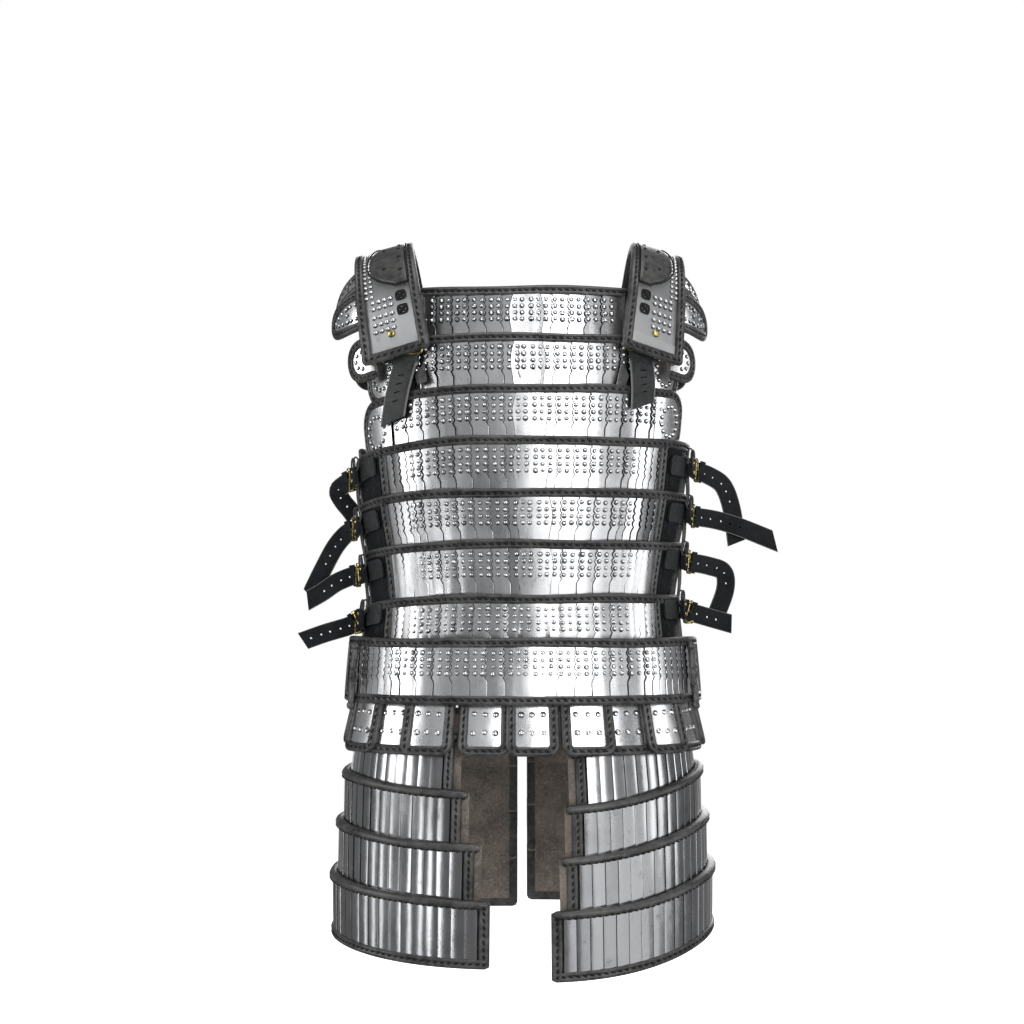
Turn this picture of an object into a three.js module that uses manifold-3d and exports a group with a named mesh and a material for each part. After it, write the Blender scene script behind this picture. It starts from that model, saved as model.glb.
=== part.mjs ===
// Lamellar armour, worn: two rigid halves of overlapping lame rows joined by shoulder straps and side straps, a
// ring of tassets under the waist row, and a riding skirt of four rows split at the front and the back.
// Millimetres, +Z up, the front faces -Y. The origin is midway between the shoulder straps, at their tops.
import * as THREE from "three";
import { mergeVertices } from "three/addons/utils/BufferGeometryUtils.js";
import Module from "manifold-3d";

const wasm = await Module();
wasm.setup();

// ---- driving dimensions ------------------------------------------------------------------------------------
const WALL = 4; // steel lamella on its leather backing
const ROUNDNESS = 0.8; // power of sine and cosine in each horizontal section: 1 would be an ellipse
const RAD = Math.PI / 180;

// horizontal sections: height, half width at the side, depth in front, depth behind
const SECTIONS = [
  [0, 182, 96, 92],
  [-73, 191, 120, 112],
  [-134, 197, 136, 124],
  [-198, 201, 145, 131],
  [-326, 199, 150, 135],
  [-455, 187, 151, 133],
  [-508, 196, 153, 137],
  [-586, 208, 163, 146],
  [-676, 218, 174, 157],
  [-803, 233, 187, 171],
  [-920, 243, 197, 182],
];

// the eight rows of each half: top edge, height, half angle round the body, round where the ends are round, and
// proud where the whole row stands outside the form, by that much at its bottom and at its top; sag: how far the
// left end of the front one hangs down
const BODY_ROWS = [
  { top: -73, height: 76, reach: 37 },
  { top: -134, height: 79, reach: 67, round: true, sag: 8 },
  { top: -198, height: 79, reach: 69, round: true, sag: 20 },
  { top: -262, height: 79, reach: 86, sag: 24 },
  { top: -326, height: 78, reach: 86, sag: 17 },
  { top: -389, height: 80, reach: 86, sag: 15 },
  { top: -455, height: 68, reach: 86, sag: 16 },
  { top: -508, height: 78, reach: 88, proud: [14, 20] },
];
const SAG_FROM = 12; // degrees from the front centre
const ROW_STEP = 8; // a row's top edge stands this far outside the bottom edge of the row above

// the skirt: tops of rows A to D and the hem at the side, the drop at the front edge, and where that edge lies
const SKIRT = {
  left: { side: -1, levels: [-608, -675, -737, -802, -880], drop: 16, edges: [75, 65, 50, 40] },
  right: { side: 1, levels: [-604, -669, -728, -791, -871], drop: 40, edges: [53, 48, 42, 32] },
};
const SKIRT_LAP = 14;
const SKIRT_OUT = 5;
const SKIRT_IN = -3;
const BACK_SPLIT = 8; // half the gap between the skirt's halves at the back

const TASSET = { top: -574, bottom: -646, width: 58, inset: 7, splay: 15, thick: 3.6 };
// along the waist from the front centre: the middles of the tassets, and how far the front ones that lie under their
// neighbours are set in
const TASSETS_FRONT = [[-203, 0], [-157, 5], [-110, 0], [-45, 5], [10, 0], [73, 0], [121, 5], [170, 0], [222, 5]];
const TASSETS_BACK = [-238, -177, -118, -54, 9, 80, 143, 202, 262];

// shoulder straps: across the body at the top and at the lower end, and how far down and forward they reach
const STRAP = { rise: -4, slope: -17, drop: 145, inFront: 146, outFront: 112, curve: 0.84, thick: 4 };
const STRAP_SIDES = {
  left: { side: -1, topIn: 142, topOut: 214, endIn: 115, endOut: 197 },
  right: { side: 1, topIn: 140, topOut: 204, endIn: 121, endOut: 195 },
};
const STRAP_SAG = 3; // the outer edge falls this much further than the inner one by the strap's end
// the patch over the crown: degrees it reaches each way, where its straight edge lies and how wide it is, as
// shares of the strap, where its round lobes are widest, as a share of the reach, and its least width and waist
const PATCH = { reach: 58, edge: 0.14, width: 0.6, clear: 1.3, thick: 2.7, lobe: 0.7, least: 0.3, waist: 0.62 };
const BACK_SHARE = 0.92; // the back reaches less far than the front

const SHOULDER_TAILS = {
  left: { side: -1, from: [138, -166], to: [152, -240] },
  right: { side: 1, from: [138, -163], to: [139, -222] },
};
const TAIL = { width: 27, thick: 3, clear: 14.5, slant: 12 };

// side straps, one to each of rows 4 to 7: the height of the row end that each starts on, the middle of its
// buckle, and the leather's path from there to its tip
const SIDE_PATHS = {
  left: [
    { start: -303, buckle: [-219, -22, -305], tail: [[-231, -3, -309], [-241, 2, -318], [-235, 6, -331],
      [-226, 7, -342], [-220, 6, -350]] },
    { start: -367, buckle: [-215, -22, -369], tail: [[-229, -4, -374], [-244, 1, -391], [-259, 5, -418],
      [-271, 8, -442], [-277, 9, -455]] },
    { start: -427, buckle: [-210, -22, -428], tail: [[-224, -7, -430], [-242, -9, -438], [-259, -12, -450],
      [-278, -14, -461]] },
    { start: -484, buckle: [-211, -20, -488], tail: [[-226, -6, -494], [-256, -8, -503], [-284, -10, -513]] },
  ],
  right: [
    { start: -292, buckle: [222, -22, -293], tail: [[243, -5, -299], [261, -2, -312], [272, 0, -342],
      [278, 0, -386]] },
    { start: -351, buckle: [217, -22, -352], tail: [[249, -6, -356], [280, -6, -365], [327, -9, -384]] },
    { start: -410, buckle: [212, -22, -411], tail: [[242, -5, -416], [261, -1, -424], [263, 2, -447],
      [250, 3, -483]] },
    { start: -472, buckle: [211, -20, -475], tail: [[242, -7, -483], [270, -8, -491]] },
  ],
};
const SIDE_START = [73, 82]; // degrees round from the front of the strap's first two points
// quick: how soon a strap turns to the front; turn: how far the leather leans out behind its buckle; lap: how much
// smaller the side bars are, to end inside the others
const SIDE_STRAP = { width: 24, thick: 3, step: 12, clear: 19, quick: 2.2 };
const BUCKLE = { across: 32, along: 18, bar: 4, turn: 3, proud: 2, lap: 1 };

// short round-ended lames beside each shoulder strap: degrees along the strap, degrees that each lies flatter
// than the strap there, how far under it each is sewn, half its width, its reach past the strap's edge, its droop
const WINGS = [
  { name: "crown", at: -34, flatter: 8, under: 12, half: 27, reach: 70, droop: 16 },
  { name: "front_upper", at: -64, flatter: 0, under: 5, half: 25, reach: 68, droop: 6 },
  { name: "front_lower", at: -88, flatter: 0, under: 5, half: 26, reach: 32, droop: 8 },
  { name: "back_upper", at: 46, flatter: 0, under: 9, half: 27, reach: 68, droop: 12 },
  { name: "back_lower", at: 84, flatter: 0, under: 5, half: 26, reach: 40, droop: 8 },
];
// bend: the droop grows by curl degrees over each bend of reach; blunt and power shape the round end
const WING = { thick: 3.6, tuck: 12, bend: 30, curl: 10, blunt: 0.08, power: 2.6 };

const HANGER = { thick: 2.4, angle: 80, spread: 4, clear: 12.5, top: -286, bottom: -470 };

// ---- materials ----------------------------------------------------------------------------------------------
const finish = (color, roughness, metalness) => ({ color, roughness, metalness });
const STEEL = finish(0xa9abad, 0.32, 1);
const LEATHER = finish(0x2b2a2a, 0.55, 0);

// ---- the body's form ----------------------------------------------------------------------------------------
// a smooth value between table rows, with slopes taken from the neighbours
function sectionAt(z) {
  const last = SECTIONS.length - 1;
  let i = 0;
  while (i < last - 1 && z < SECTIONS[i + 1][0]) i++;
  const slope = (k, c) => {
    const lo = SECTIONS[Math.max(k - 1, 0)];
    const hi = SECTIONS[Math.min(k + 1, last)];
    return (hi[c] - lo[c]) / (hi[0] - lo[0]);
  };
  const [p, q] = [SECTIONS[i], SECTIONS[i + 1]];
  const h = q[0] - p[0];
  const t = THREE.MathUtils.clamp((z - p[0]) / h, 0, 1);
  return [1, 2, 3].map((c) => {
    const near = (1 + 2 * t) * (1 - t) ** 2 * p[c] + t * t * (3 - 2 * t) * q[c];
    return near + h * (t * (1 - t) ** 2 * slope(i, c) - t * t * (1 - t) * slope(i + 1, c));
  });
}

// the section's point at an angle in degrees from the front centre, moved out along its normal
function bodyPoint(angle, z, out) {
  const [half, front, back] = sectionAt(z);
  const power = (v) => Math.sign(v) * Math.abs(v) ** ROUNDNESS;
  const at = (deg) => {
    const depth = Math.cos(deg * RAD) > 0 ? front : back;
    return new THREE.Vector2(half * power(Math.sin(deg * RAD)), -depth * power(Math.cos(deg * RAD)));
  };
  const here = at(angle);
  const along = at(angle + 0.5).sub(at(angle - 0.5)).normalize();
  return new THREE.Vector3(here.x + along.y * out, here.y - along.x * out, z);
}

// the angle at which the section in front reaches a half width x
function angleAtX(x, z) {
  return Math.asin((Math.abs(x) / sectionAt(z)[0]) ** (1 / ROUNDNESS)) / RAD;
}

// the angle at a distance s along the section from the front centre
function angleAtLength(s, z) {
  const step = 0.5;
  let angle = 0;
  let run = 0;
  let from = bodyPoint(0, z, 0);
  while (run < Math.abs(s)) {
    angle += step;
    const to = bodyPoint(angle, z, 0);
    run += to.distanceTo(from);
    from = to;
  }
  return Math.sign(s) * angle;
}

// ---- making closed walls ------------------------------------------------------------------------------------
// a box of segments whose points go through place(u, v, w), with u and v from 0 to 1 and w 0 inside, 1 outside
function wall(segU, segV, place) {
  const geometry = new THREE.BoxGeometry(1, 1, 1, segU, segV, 1);
  const p = geometry.attributes.position;
  for (let i = 0; i < p.count; i++) {
    const point = place(p.getX(i) + 0.5, p.getY(i) + 0.5, p.getZ(i) + 0.5);
    p.setXYZ(i, point.x, point.y, point.z);
  }
  geometry.deleteAttribute("normal");
  geometry.deleteAttribute("uv");
  const merged = mergeVertices(geometry, 1e-4);
  const index = merged.index.array;
  if (signedVolume(merged) < 0)
    for (let i = 0; i < index.length; i += 3) [index[i], index[i + 1]] = [index[i + 1], index[i]];
  return merged;
}

function signedVolume(geometry) {
  const p = geometry.attributes.position;
  const index = geometry.index.array;
  const corner = (i) => new THREE.Vector3().fromBufferAttribute(p, index[i]);
  let volume = 0;
  for (let i = 0; i < index.length; i += 3)
    volume += corner(i).dot(corner(i + 1).cross(corner(i + 2))) / 6;
  return volume;
}

function joined(geometries) {
  const solids = geometries.map(
    (g) =>
      new wasm.Manifold(
        new wasm.Mesh({
          numProp: 3,
          vertProperties: new Float32Array(g.attributes.position.array),
          triVerts: new Uint32Array(g.index.array),
        }),
      ),
  );
  const mesh = solids.reduce((all, one) => all.add(one)).getMesh();
  return new THREE.BufferGeometry()
    .setAttribute("position", new THREE.BufferAttribute(new Float32Array(mesh.vertProperties), 3))
    .setIndex(new THREE.BufferAttribute(new Uint32Array(mesh.triVerts), 1));
}

const armour = new THREE.Group();
armour.name = "lamellar_armour";

function add(name, geometry, look) {
  geometry.computeVertexNormals();
  const mesh = new THREE.Mesh(geometry, new THREE.MeshStandardMaterial(look));
  mesh.name = name;
  armour.add(mesh);
}

// ---- rows of the two halves ---------------------------------------------------------------------------------
const LEAST_END = 0.3; // share of a round end's height that is left at its tip
const MM_PER_DEGREE = 3.4; // along a row
const EASE = 0.35; // how far the segments of a round-ended row crowd towards its ends

function bodyRow(name, row, middle) {
  const { top, height, reach } = row;
  const segments = Math.max(8, Math.round(reach / 5));
  const endShare = height / 2 / (reach * MM_PER_DEGREE);
  const sag = middle === 0 && row.sag ? row.sag : 0;
  const place = (u, v, w) => {
    let across = 2 * u - 1;
    let tall = v;
    if (row.round) {
      across = Math.sin((across * Math.PI) / 2) * EASE + across * (1 - EASE);
      const past = Math.max(0, (Math.abs(across) - 1 + endShare) / endShare);
      tall = 0.5 + (v - 0.5) * Math.max(LEAST_END, Math.sqrt(Math.max(0, 1 - past * past)));
    }
    const step = row.proud ? row.proud[0] + (row.proud[1] - row.proud[0]) * tall : ROW_STEP * tall;
    const angle = across * reach;
    const low = sag * Math.max(0, (-angle - SAG_FROM) / (reach - SAG_FROM)) ** 1.5;
    return bodyPoint(middle + angle, top - low - height * (1 - tall), step + WALL * w);
  };
  add(name, wall(segments, row.round ? 2 : 1, place), STEEL);
}

BODY_ROWS.forEach((row, i) => bodyRow(`front_row_${i + 1}`, row, 0));
BODY_ROWS.forEach((row, i) => bodyRow(`back_row_${i + 1}`, row, 180));

// ---- skirt --------------------------------------------------------------------------------------------------
function skirtRow(name, half, i) {
  const top = half.levels[i];
  const bottom = i === 3 ? half.levels[4] : half.levels[i + 1] - SKIRT_LAP;
  const from = angleAtX(half.edges[i], (top + bottom) / 2);
  const to = 180 - angleAtX(BACK_SPLIT, (top + bottom) / 2);
  const drop = (angle) => half.drop * Math.max(0, Math.cos(angle * RAD)) ** 2;
  const outer = i === 0 ? SKIRT_IN : SKIRT_OUT;
  const place = (u, v, w) => {
    const angle = from + (to - from) * u;
    const out = SKIRT_IN + (outer - SKIRT_IN) * v + WALL * w;
    return bodyPoint(half.side * angle, bottom + (top - bottom) * v - drop(angle), out);
  };
  add(name, wall(26, 1, place), STEEL);
}

for (const [label, half] of Object.entries(SKIRT))
  ["a", "b", "c", "d"].forEach((letter, i) => skirtRow(`skirt_${label}_${letter}`, half, i));

// ---- tassets ------------------------------------------------------------------------------------------------
function tasset(centre, under, middle, segU, segV) {
  const corner = 0.5; // share of the half width that rounds away at the bottom
  const angles = (s) => middle + angleAtLength(s, TASSET.top);
  return wall(segU, segV, (u, v, w) => {
    const low = Math.max(0, 1 - v / corner);
    const half = (TASSET.width / 2) * Math.sqrt(1 - 0.6 * low * low);
    const z = TASSET.bottom + (TASSET.top - TASSET.bottom) * v;
    const out = TASSET.inset - under + (TASSET.splay - TASSET.inset) * (1 - v) ** 1.3;
    return bodyPoint(angles(centre + (2 * u - 1) * half), z, out + TASSET.thick * w);
  });
}

TASSETS_FRONT.forEach(([centre, under], i) => add(`tasset_front_${i + 1}`, tasset(centre, under, 0, 3, 4), STEEL));

const CARRIER = { reach: 80, height: 11, thinner: 0.2 }; // the strip that the nine back tassets hang from
const carrier = wall(18, 1, (u, v, w) =>
  bodyPoint(
    180 + (2 * u - 1) * CARRIER.reach,
    TASSET.top + 1 - CARRIER.height * (1 - v),
    TASSET.inset + CARRIER.thinner + (TASSET.thick - 2 * CARRIER.thinner) * w,
  ),
);
add("tassets_back", joined([carrier, ...TASSETS_BACK.map((centre) => tasset(centre, 0, 180, 2, 3))]), STEEL);

// ---- shoulder straps ----------------------------------------------------------------------------------------
// a point on a strap: degrees over the shoulder from the crown (front negative), share across, height above
function strapPoint(set, degrees, across, above) {
  const share = degrees > 0 ? BACK_SHARE : 1;
  const at = (deg) => {
    const sine = Math.abs(Math.sin(deg * RAD)) ** STRAP.curve;
    const cosine = Math.abs(Math.cos(deg * RAD)) ** STRAP.curve;
    const reach = (STRAP.inFront + (STRAP.outFront - STRAP.inFront) * across) * share;
    const low = 1 - cosine;
    const top = set.topIn + (set.topOut - set.topIn) * across;
    const end = set.endIn + (set.endOut - set.endIn) * across;
    return new THREE.Vector3(
      set.side * (top + (end - top) * low),
      Math.sign(deg) * reach * sine,
      STRAP.rise + STRAP.slope * across - STRAP.drop * low - STRAP_SAG * across * low,
    );
  };
  const here = at(degrees);
  if (!above) return here;
  return here.addScaledVector(strapFrame(set, degrees, across).up, above);
}

function strapFrame(set, degrees, across) {
  const [a, b] = [Math.max(-90, degrees - 1), Math.min(90, degrees + 1)];
  const along = strapPoint(set, b, across, 0).sub(strapPoint(set, a, across, 0)).normalize();
  const outward = strapPoint(set, degrees, 1, 0).sub(strapPoint(set, degrees, 0, 0)).normalize();
  const up = new THREE.Vector3().crossVectors(outward, along).multiplyScalar(set.side).normalize();
  return { along, outward, up };
}

for (const [label, set] of Object.entries(STRAP_SIDES)) {
  const strap = wall(20, 1, (u, v, w) => strapPoint(set, (2 * u - 1) * 90, v, STRAP.thick * w));
  add(`shoulder_strap_${label}`, strap, STEEL);

  // two round lobes of thick leather over the crown, the straight side along the inner edge
  const patch = wall(12, 3, (u, v, w) => {
    const over = Math.abs(2 * u - 1);
    const past = Math.max(0, over - PATCH.lobe) / (1 - PATCH.lobe);
    const neck = Math.sin((Math.min(1, over / PATCH.lobe) * Math.PI) / 2) ** 2;
    const round = Math.max(PATCH.least, Math.sqrt(1 - past * past));
    const wide = (PATCH.waist + (1 - PATCH.waist) * neck) * round;
    const above = STRAP.thick + PATCH.clear + PATCH.thick * w;
    return strapPoint(set, (2 * u - 1) * PATCH.reach, PATCH.edge + PATCH.width * v * wide, above);
  });
  add(`shoulder_patch_${label}`, patch, LEATHER);

  for (const wing of WINGS) add(`wing_${label}_${wing.name}`, wingPlate(set, wing), STEEL);
}

function wingPlate(set, wing) {
  const frame = strapFrame(set, wing.at, 1);
  const lean = wing.flatter * RAD;
  const along = frame.along.clone().multiplyScalar(Math.cos(lean)).addScaledVector(frame.up, -Math.sin(lean));
  const up = frame.up.clone().multiplyScalar(Math.cos(lean)).addScaledVector(frame.along, Math.sin(lean));
  const base = strapPoint(set, wing.at, 1, 0);
  return wall(4, 4, (u, v, w) => {
    const past = wing.reach * v - WING.tuck * (1 - v);
    const beyond = Math.max(0, past);
    const rounded = Math.sqrt(Math.max(WING.blunt, 1 - (beyond / wing.reach) ** WING.power));
    const turn = (wing.droop + (beyond / WING.bend) * WING.curl) * RAD;
    return base
      .clone()
      .addScaledVector(along, (2 * u - 1) * wing.half * rounded)
      .addScaledVector(frame.outward, past > 0 ? past * Math.cos(turn) : past)
      .addScaledVector(up, WING.thick * w - wing.under - WING.thick - beyond * Math.sin(turn));
  });
}

// ---- leather tails below the straps -------------------------------------------------------------------------
for (const [label, tail] of Object.entries(SHOULDER_TAILS)) {
  const strip = wall(1, 6, (u, v, w) => {
    const down = 1 - v;
    const z = tail.from[1] + (tail.to[1] - tail.from[1]) * down;
    const x = tail.from[0] + (tail.to[0] - tail.from[0]) * down + (u - 0.5) * TAIL.width;
    const slant = tail.side * (u - 0.5) * TAIL.slant * down;
    return bodyPoint(tail.side * angleAtX(x, z), z + slant, TAIL.clear + TAIL.thick * w);
  });
  add(`shoulder_tail_${label}`, strip, LEATHER);
}

// ---- side straps with their buckles -------------------------------------------------------------------------
// a ribbon along a curve: its face turns from the body's side to the front as it leaves the buckle
function ribbonFrame(curve, t, side) {
  const at = curve.getPointAt(t);
  const along = curve.getTangentAt(t);
  const front = new THREE.Vector3(0.1 * side, -1, 0);
  const facing = new THREE.Vector3(side, -0.6, 0).lerp(front, Math.min(1, t * SIDE_STRAP.quick));
  const across = new THREE.Vector3().crossVectors(facing, along).normalize();
  const out = new THREE.Vector3().crossVectors(along, across).normalize();
  return { at, across, out };
}

function sideStrap({ start, buckle, tail }, side) {
  const middle = new THREE.Vector3(...buckle);
  const past = middle.clone().add(new THREE.Vector3(side * BUCKLE.turn, BUCKLE.along / 2 + 1, 0));
  const rowEnd = SIDE_START.map((angle) => bodyPoint(side * angle, start, SIDE_STRAP.clear));
  const loose = tail.map((point) => new THREE.Vector3(...point));
  const curve = new THREE.CatmullRomCurve3([...rowEnd, middle, past, ...loose]);
  const steps = Math.round(curve.getLength() / SIDE_STRAP.step);
  const strip = wall(steps, 1, (u, v, w) => {
    const { at, across, out } = ribbonFrame(curve, u, side);
    at.addScaledVector(across, (v - 0.5) * SIDE_STRAP.width);
    return at.addScaledVector(out, (w - 0.5) * SIDE_STRAP.thick);
  });
  const { at, across, out } = ribbonFrame(curve, nearestShare(curve, middle), side);
  const along = new THREE.Vector3().crossVectors(across, out);
  const bar = (w, h, x, y, thinner = 0) =>
    wall(1, 1, (u, v, t) =>
      at
        .clone()
        .addScaledVector(along, x + (u - 0.5) * w)
        .addScaledVector(across, y + (v - 0.5) * h)
        .addScaledVector(out, (t - 0.5) * (SIDE_STRAP.thick + BUCKLE.proud - thinner)),
    );
  const ends = BUCKLE.across / 2 - BUCKLE.bar / 2;
  const sides = BUCKLE.along / 2 - BUCKLE.bar / 2;
  return joined([
    strip,
    bar(BUCKLE.along, BUCKLE.bar, 0, ends),
    bar(BUCKLE.along, BUCKLE.bar, 0, -ends),
    bar(BUCKLE.bar, BUCKLE.across - BUCKLE.lap, sides - BUCKLE.lap / 2, 0, BUCKLE.lap / 2),
    bar(BUCKLE.bar, BUCKLE.across - BUCKLE.lap, -sides + BUCKLE.lap / 2, 0, BUCKLE.lap / 2),
  ]);
}

function nearestShare(curve, point) {
  let best = 0;
  let least = Infinity;
  for (let t = 0; t <= 1; t += 0.01) {
    const gap = curve.getPointAt(t).distanceTo(point);
    if (gap < least) [best, least] = [t, gap];
  }
  return best;
}

for (const [label, paths] of Object.entries(SIDE_PATHS)) {
  const side = label === "left" ? -1 : 1;
  paths.forEach((points, i) => add(`side_strap_${label}_${i + 4}`, sideStrap(points, side), LEATHER));

  // the thongs that hang rows 5 to 8 from row 4 at the side
  const hanger = wall(1, 10, (u, v, w) => {
    const z = HANGER.bottom + (HANGER.top - HANGER.bottom) * v;
    return bodyPoint(side * (HANGER.angle + (u - 0.5) * HANGER.spread), z, HANGER.clear + HANGER.thick * w);
  });
  add(`side_hanger_${label}`, hanger, LEATHER);
}

export default armour;
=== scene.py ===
"""Lamellar armour, worn: rows of steel lamellae on leather, laced and bound in black leather.

Lengths are millimetres until a piece is finished, and then metres. A piece is first made flat: s runs along
it, t runs down from its top edge and n stands out of it. Then it is bent to its place on the body.
"""
import math

import bmesh
import bpy
import numpy as np
from mathutils import Matrix, Vector


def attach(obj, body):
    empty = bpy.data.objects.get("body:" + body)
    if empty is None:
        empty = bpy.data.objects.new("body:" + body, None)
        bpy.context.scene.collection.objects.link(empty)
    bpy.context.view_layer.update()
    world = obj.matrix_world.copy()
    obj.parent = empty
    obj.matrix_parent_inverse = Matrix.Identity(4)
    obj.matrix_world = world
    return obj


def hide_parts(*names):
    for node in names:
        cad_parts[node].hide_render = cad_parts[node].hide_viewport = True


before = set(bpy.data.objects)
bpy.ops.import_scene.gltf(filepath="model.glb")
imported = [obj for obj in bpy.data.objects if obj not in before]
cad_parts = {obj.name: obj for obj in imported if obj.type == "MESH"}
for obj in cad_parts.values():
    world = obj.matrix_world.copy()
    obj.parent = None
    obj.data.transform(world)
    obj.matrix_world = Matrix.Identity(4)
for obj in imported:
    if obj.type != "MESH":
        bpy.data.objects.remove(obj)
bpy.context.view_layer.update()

MM = 0.001
RAD = math.pi / 180
rng = np.random.default_rng(11)

# ---------------------------------------------------------------- camera
scene = bpy.context.scene
EYE = Vector((-0.014, -2.4, -0.473))
EYE_LIFT = 3.04  # degrees above level
LENS = 64.9
camera_data = bpy.data.cameras.new("camera")
camera_data.sensor_width = 36
camera_data.lens = LENS
camera_data.clip_end = 50
camera = bpy.data.objects.new("camera", camera_data)
scene.collection.objects.link(camera)
camera.location = EYE
camera.rotation_euler = ((90 + EYE_LIFT) * RAD, 0, 0)
scene.camera = camera

# ---------------------------------------------------------------- the body's form, as the walls follow it
ROUNDNESS = 0.8
SECTIONS = np.array([  # height, half width at the side, depth in front, depth behind
    (-920, 243, 197, 182), (-803, 233, 187, 171), (-676, 218, 174, 157), (-586, 208, 163, 146),
    (-508, 196, 153, 137), (-455, 187, 151, 133), (-326, 199, 150, 135), (-198, 201, 145, 131),
    (-134, 197, 136, 124), (-73, 191, 120, 112), (0, 182, 96, 92),
], float)

# reach is in degrees from the middle; middle is where the front's middle lame lies; sag is how far the left
# end of a front row hangs down; proud is how far a row's foot and head stand out
BODY_ROWS = [
    dict(top=-73, height=76, reach=37, middle=4),
    dict(top=-134, height=79, reach=67, middle=6, round=True, sag=8),
    dict(top=-198, height=79, reach=69, middle=8, round=True, sag=20),
    dict(top=-262, height=79, reach=86, middle=9, sag=24),
    dict(top=-326, height=78, reach=86, middle=13, sag=17),
    dict(top=-389, height=80, reach=86, middle=14, sag=15),
    dict(top=-455, height=68, reach=86, middle=12, sag=16),
    dict(top=-508, height=78, reach=88, middle=8, proud=(14, 20)),
]
PANELLED = range(3, 7)  # rows 4 to 7, which end in a panel of plain leather
WAIST = 7  # row 8, which the tassets hang under
ROW_STEP = 8  # how far a row's head stands out, over the foot of the row above
SAG_FROM = 12  # degrees

SKIRT = {
    "left": dict(side=-1, levels=(-608, -675, -737, -802, -880), drop=16, edges=(75, 65, 50, 40)),
    "right": dict(side=1, levels=(-604, -669, -728, -791, -871), drop=40, edges=(53, 48, 42, 32)),
}
SKIRT_LAP, SKIRT_OUT, SKIRT_IN, BACK_SPLIT = 14, 5, -3, 8

TASSET = dict(top=-574, bottom=-646, width=58, inset=7, splay=15)
# each tasset's middle along the waist, and in front how far it is set in
TASSETS_FRONT = ((-203, 0), (-157, 5), (-110, 0), (-45, 5), (10, 0), (73, 0), (121, 5), (170, 0), (222, 5))
TASSETS_BACK = (-238, -177, -118, -54, 9, 80, 143, 202, 262)

STRAP = dict(rise=-4, slope=-17, drop=145, in_front=146, out_front=112, curve=0.84, back=0.92)
STRAP_SIDES = {
    "left": dict(side=-1, top_in=142, top_out=214, end_in=115, end_out=197),
    "right": dict(side=1, top_in=140, top_out=204, end_in=121, end_out=195),
}

SHOULDER_TAILS = {
    "left": dict(side=-1, start=(138, -166), end=(152, -240)),
    "right": dict(side=1, start=(138, -163), end=(139, -222)),
}
TAIL = dict(width=27, clear=14.5, slant=12)

# side straps, one to each of rows 4 to 7: the height of the row end that each starts on, the middle of its
# buckle, and the leather's path from there to its tip
SIDE_PATHS = {
    "left": [
        (-303, (-219, -22, -305), [(-231, -3, -309), (-241, 2, -318), (-235, 6, -331), (-226, 7, -342),
                                   (-220, 6, -350)]),
        (-367, (-215, -22, -369), [(-229, -4, -374), (-244, 1, -391), (-259, 5, -418), (-271, 8, -442),
                                   (-277, 9, -455)]),
        (-427, (-210, -22, -428), [(-224, -7, -430), (-242, -9, -438), (-259, -12, -450), (-278, -14, -461)]),
        (-484, (-211, -20, -488), [(-226, -6, -494), (-256, -8, -503), (-284, -10, -513)]),
    ],
    "right": [
        (-292, (222, -22, -293), [(243, -5, -299), (261, -2, -312), (272, 0, -342), (278, 0, -386)]),
        (-351, (217, -22, -352), [(249, -6, -356), (280, -6, -365), (327, -9, -384)]),
        (-410, (212, -22, -411), [(242, -5, -416), (261, -1, -424), (263, 2, -447), (250, 3, -483)]),
        (-472, (211, -20, -475), [(242, -7, -483), (270, -8, -491)]),
    ],
}
SIDE_START = (73, 82)  # degrees round the body that a strap lies along before it leaves the row
SIDE_STRAP = dict(width=24, thick=3, clear=19)
BUCKLE = dict(across=32, along=18, turn=3)

WINGS = [  # name, degrees along the strap, degrees flatter than it, depth under it, half width, reach, droop
    ("crown", -34, 8, 12, 27, 70, 16),
    ("front_upper", -64, 0, 5, 25, 68, 6),
    ("front_lower", -88, 0, 5, 26, 32, 8),
    ("back_upper", 46, 0, 9, 27, 68, 12),
    ("back_lower", 84, 0, 5, 26, 40, 8),
]
WING = dict(thick=3.6, tuck=12, bend=30, curl=10, power=2.6)
HANGER = dict(angle=80, spread=4, clear=12.5, top=-286, bottom=-470)


def section_at(z):
    """Half width and depths at the heights z, smooth between the sections."""
    z = np.atleast_1d(np.asarray(z, float))
    heights, values = SECTIONS[:, 0], SECTIONS[:, 1:]
    slopes = np.empty_like(values)
    slopes[1:-1] = (values[2:] - values[:-2]) / (heights[2:] - heights[:-2])[:, None]
    slopes[0] = (values[1] - values[0]) / (heights[1] - heights[0])
    slopes[-1] = (values[-1] - values[-2]) / (heights[-1] - heights[-2])
    i = np.clip(np.searchsorted(heights, z) - 1, 0, len(heights) - 2)
    h = (heights[i + 1] - heights[i])[:, None]
    t = np.clip((z - heights[i])[:, None] / h, 0, 1)
    near = (1 + 2 * t) * (1 - t) ** 2 * values[i] + t * t * (3 - 2 * t) * values[i + 1]
    return near + h * (t * (1 - t) ** 2 * slopes[i] - t * t * (1 - t) * slopes[i + 1])


def body_point(angle, z, out):
    """Points at angles in degrees from the front centre, moved out along the section's normal."""
    angle, z, out = (np.atleast_1d(a).astype(float) for a in np.broadcast_arrays(angle, z, out))
    half, front, back = section_at(z).T

    def at(degrees):
        sine, cosine = np.sin(degrees * RAD), np.cos(degrees * RAD)
        depth = np.where(cosine > 0, front, back)
        return (half * np.sign(sine) * np.abs(sine) ** ROUNDNESS,
                -depth * np.sign(cosine) * np.abs(cosine) ** ROUNDNESS)

    x, y = at(angle)
    (ax, ay), (bx, by) = at(angle - 0.5), at(angle + 0.5)
    length = np.hypot(bx - ax, by - ay)
    return np.stack([x + (by - ay) / length * out, y - (bx - ax) / length * out, z], -1)


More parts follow.
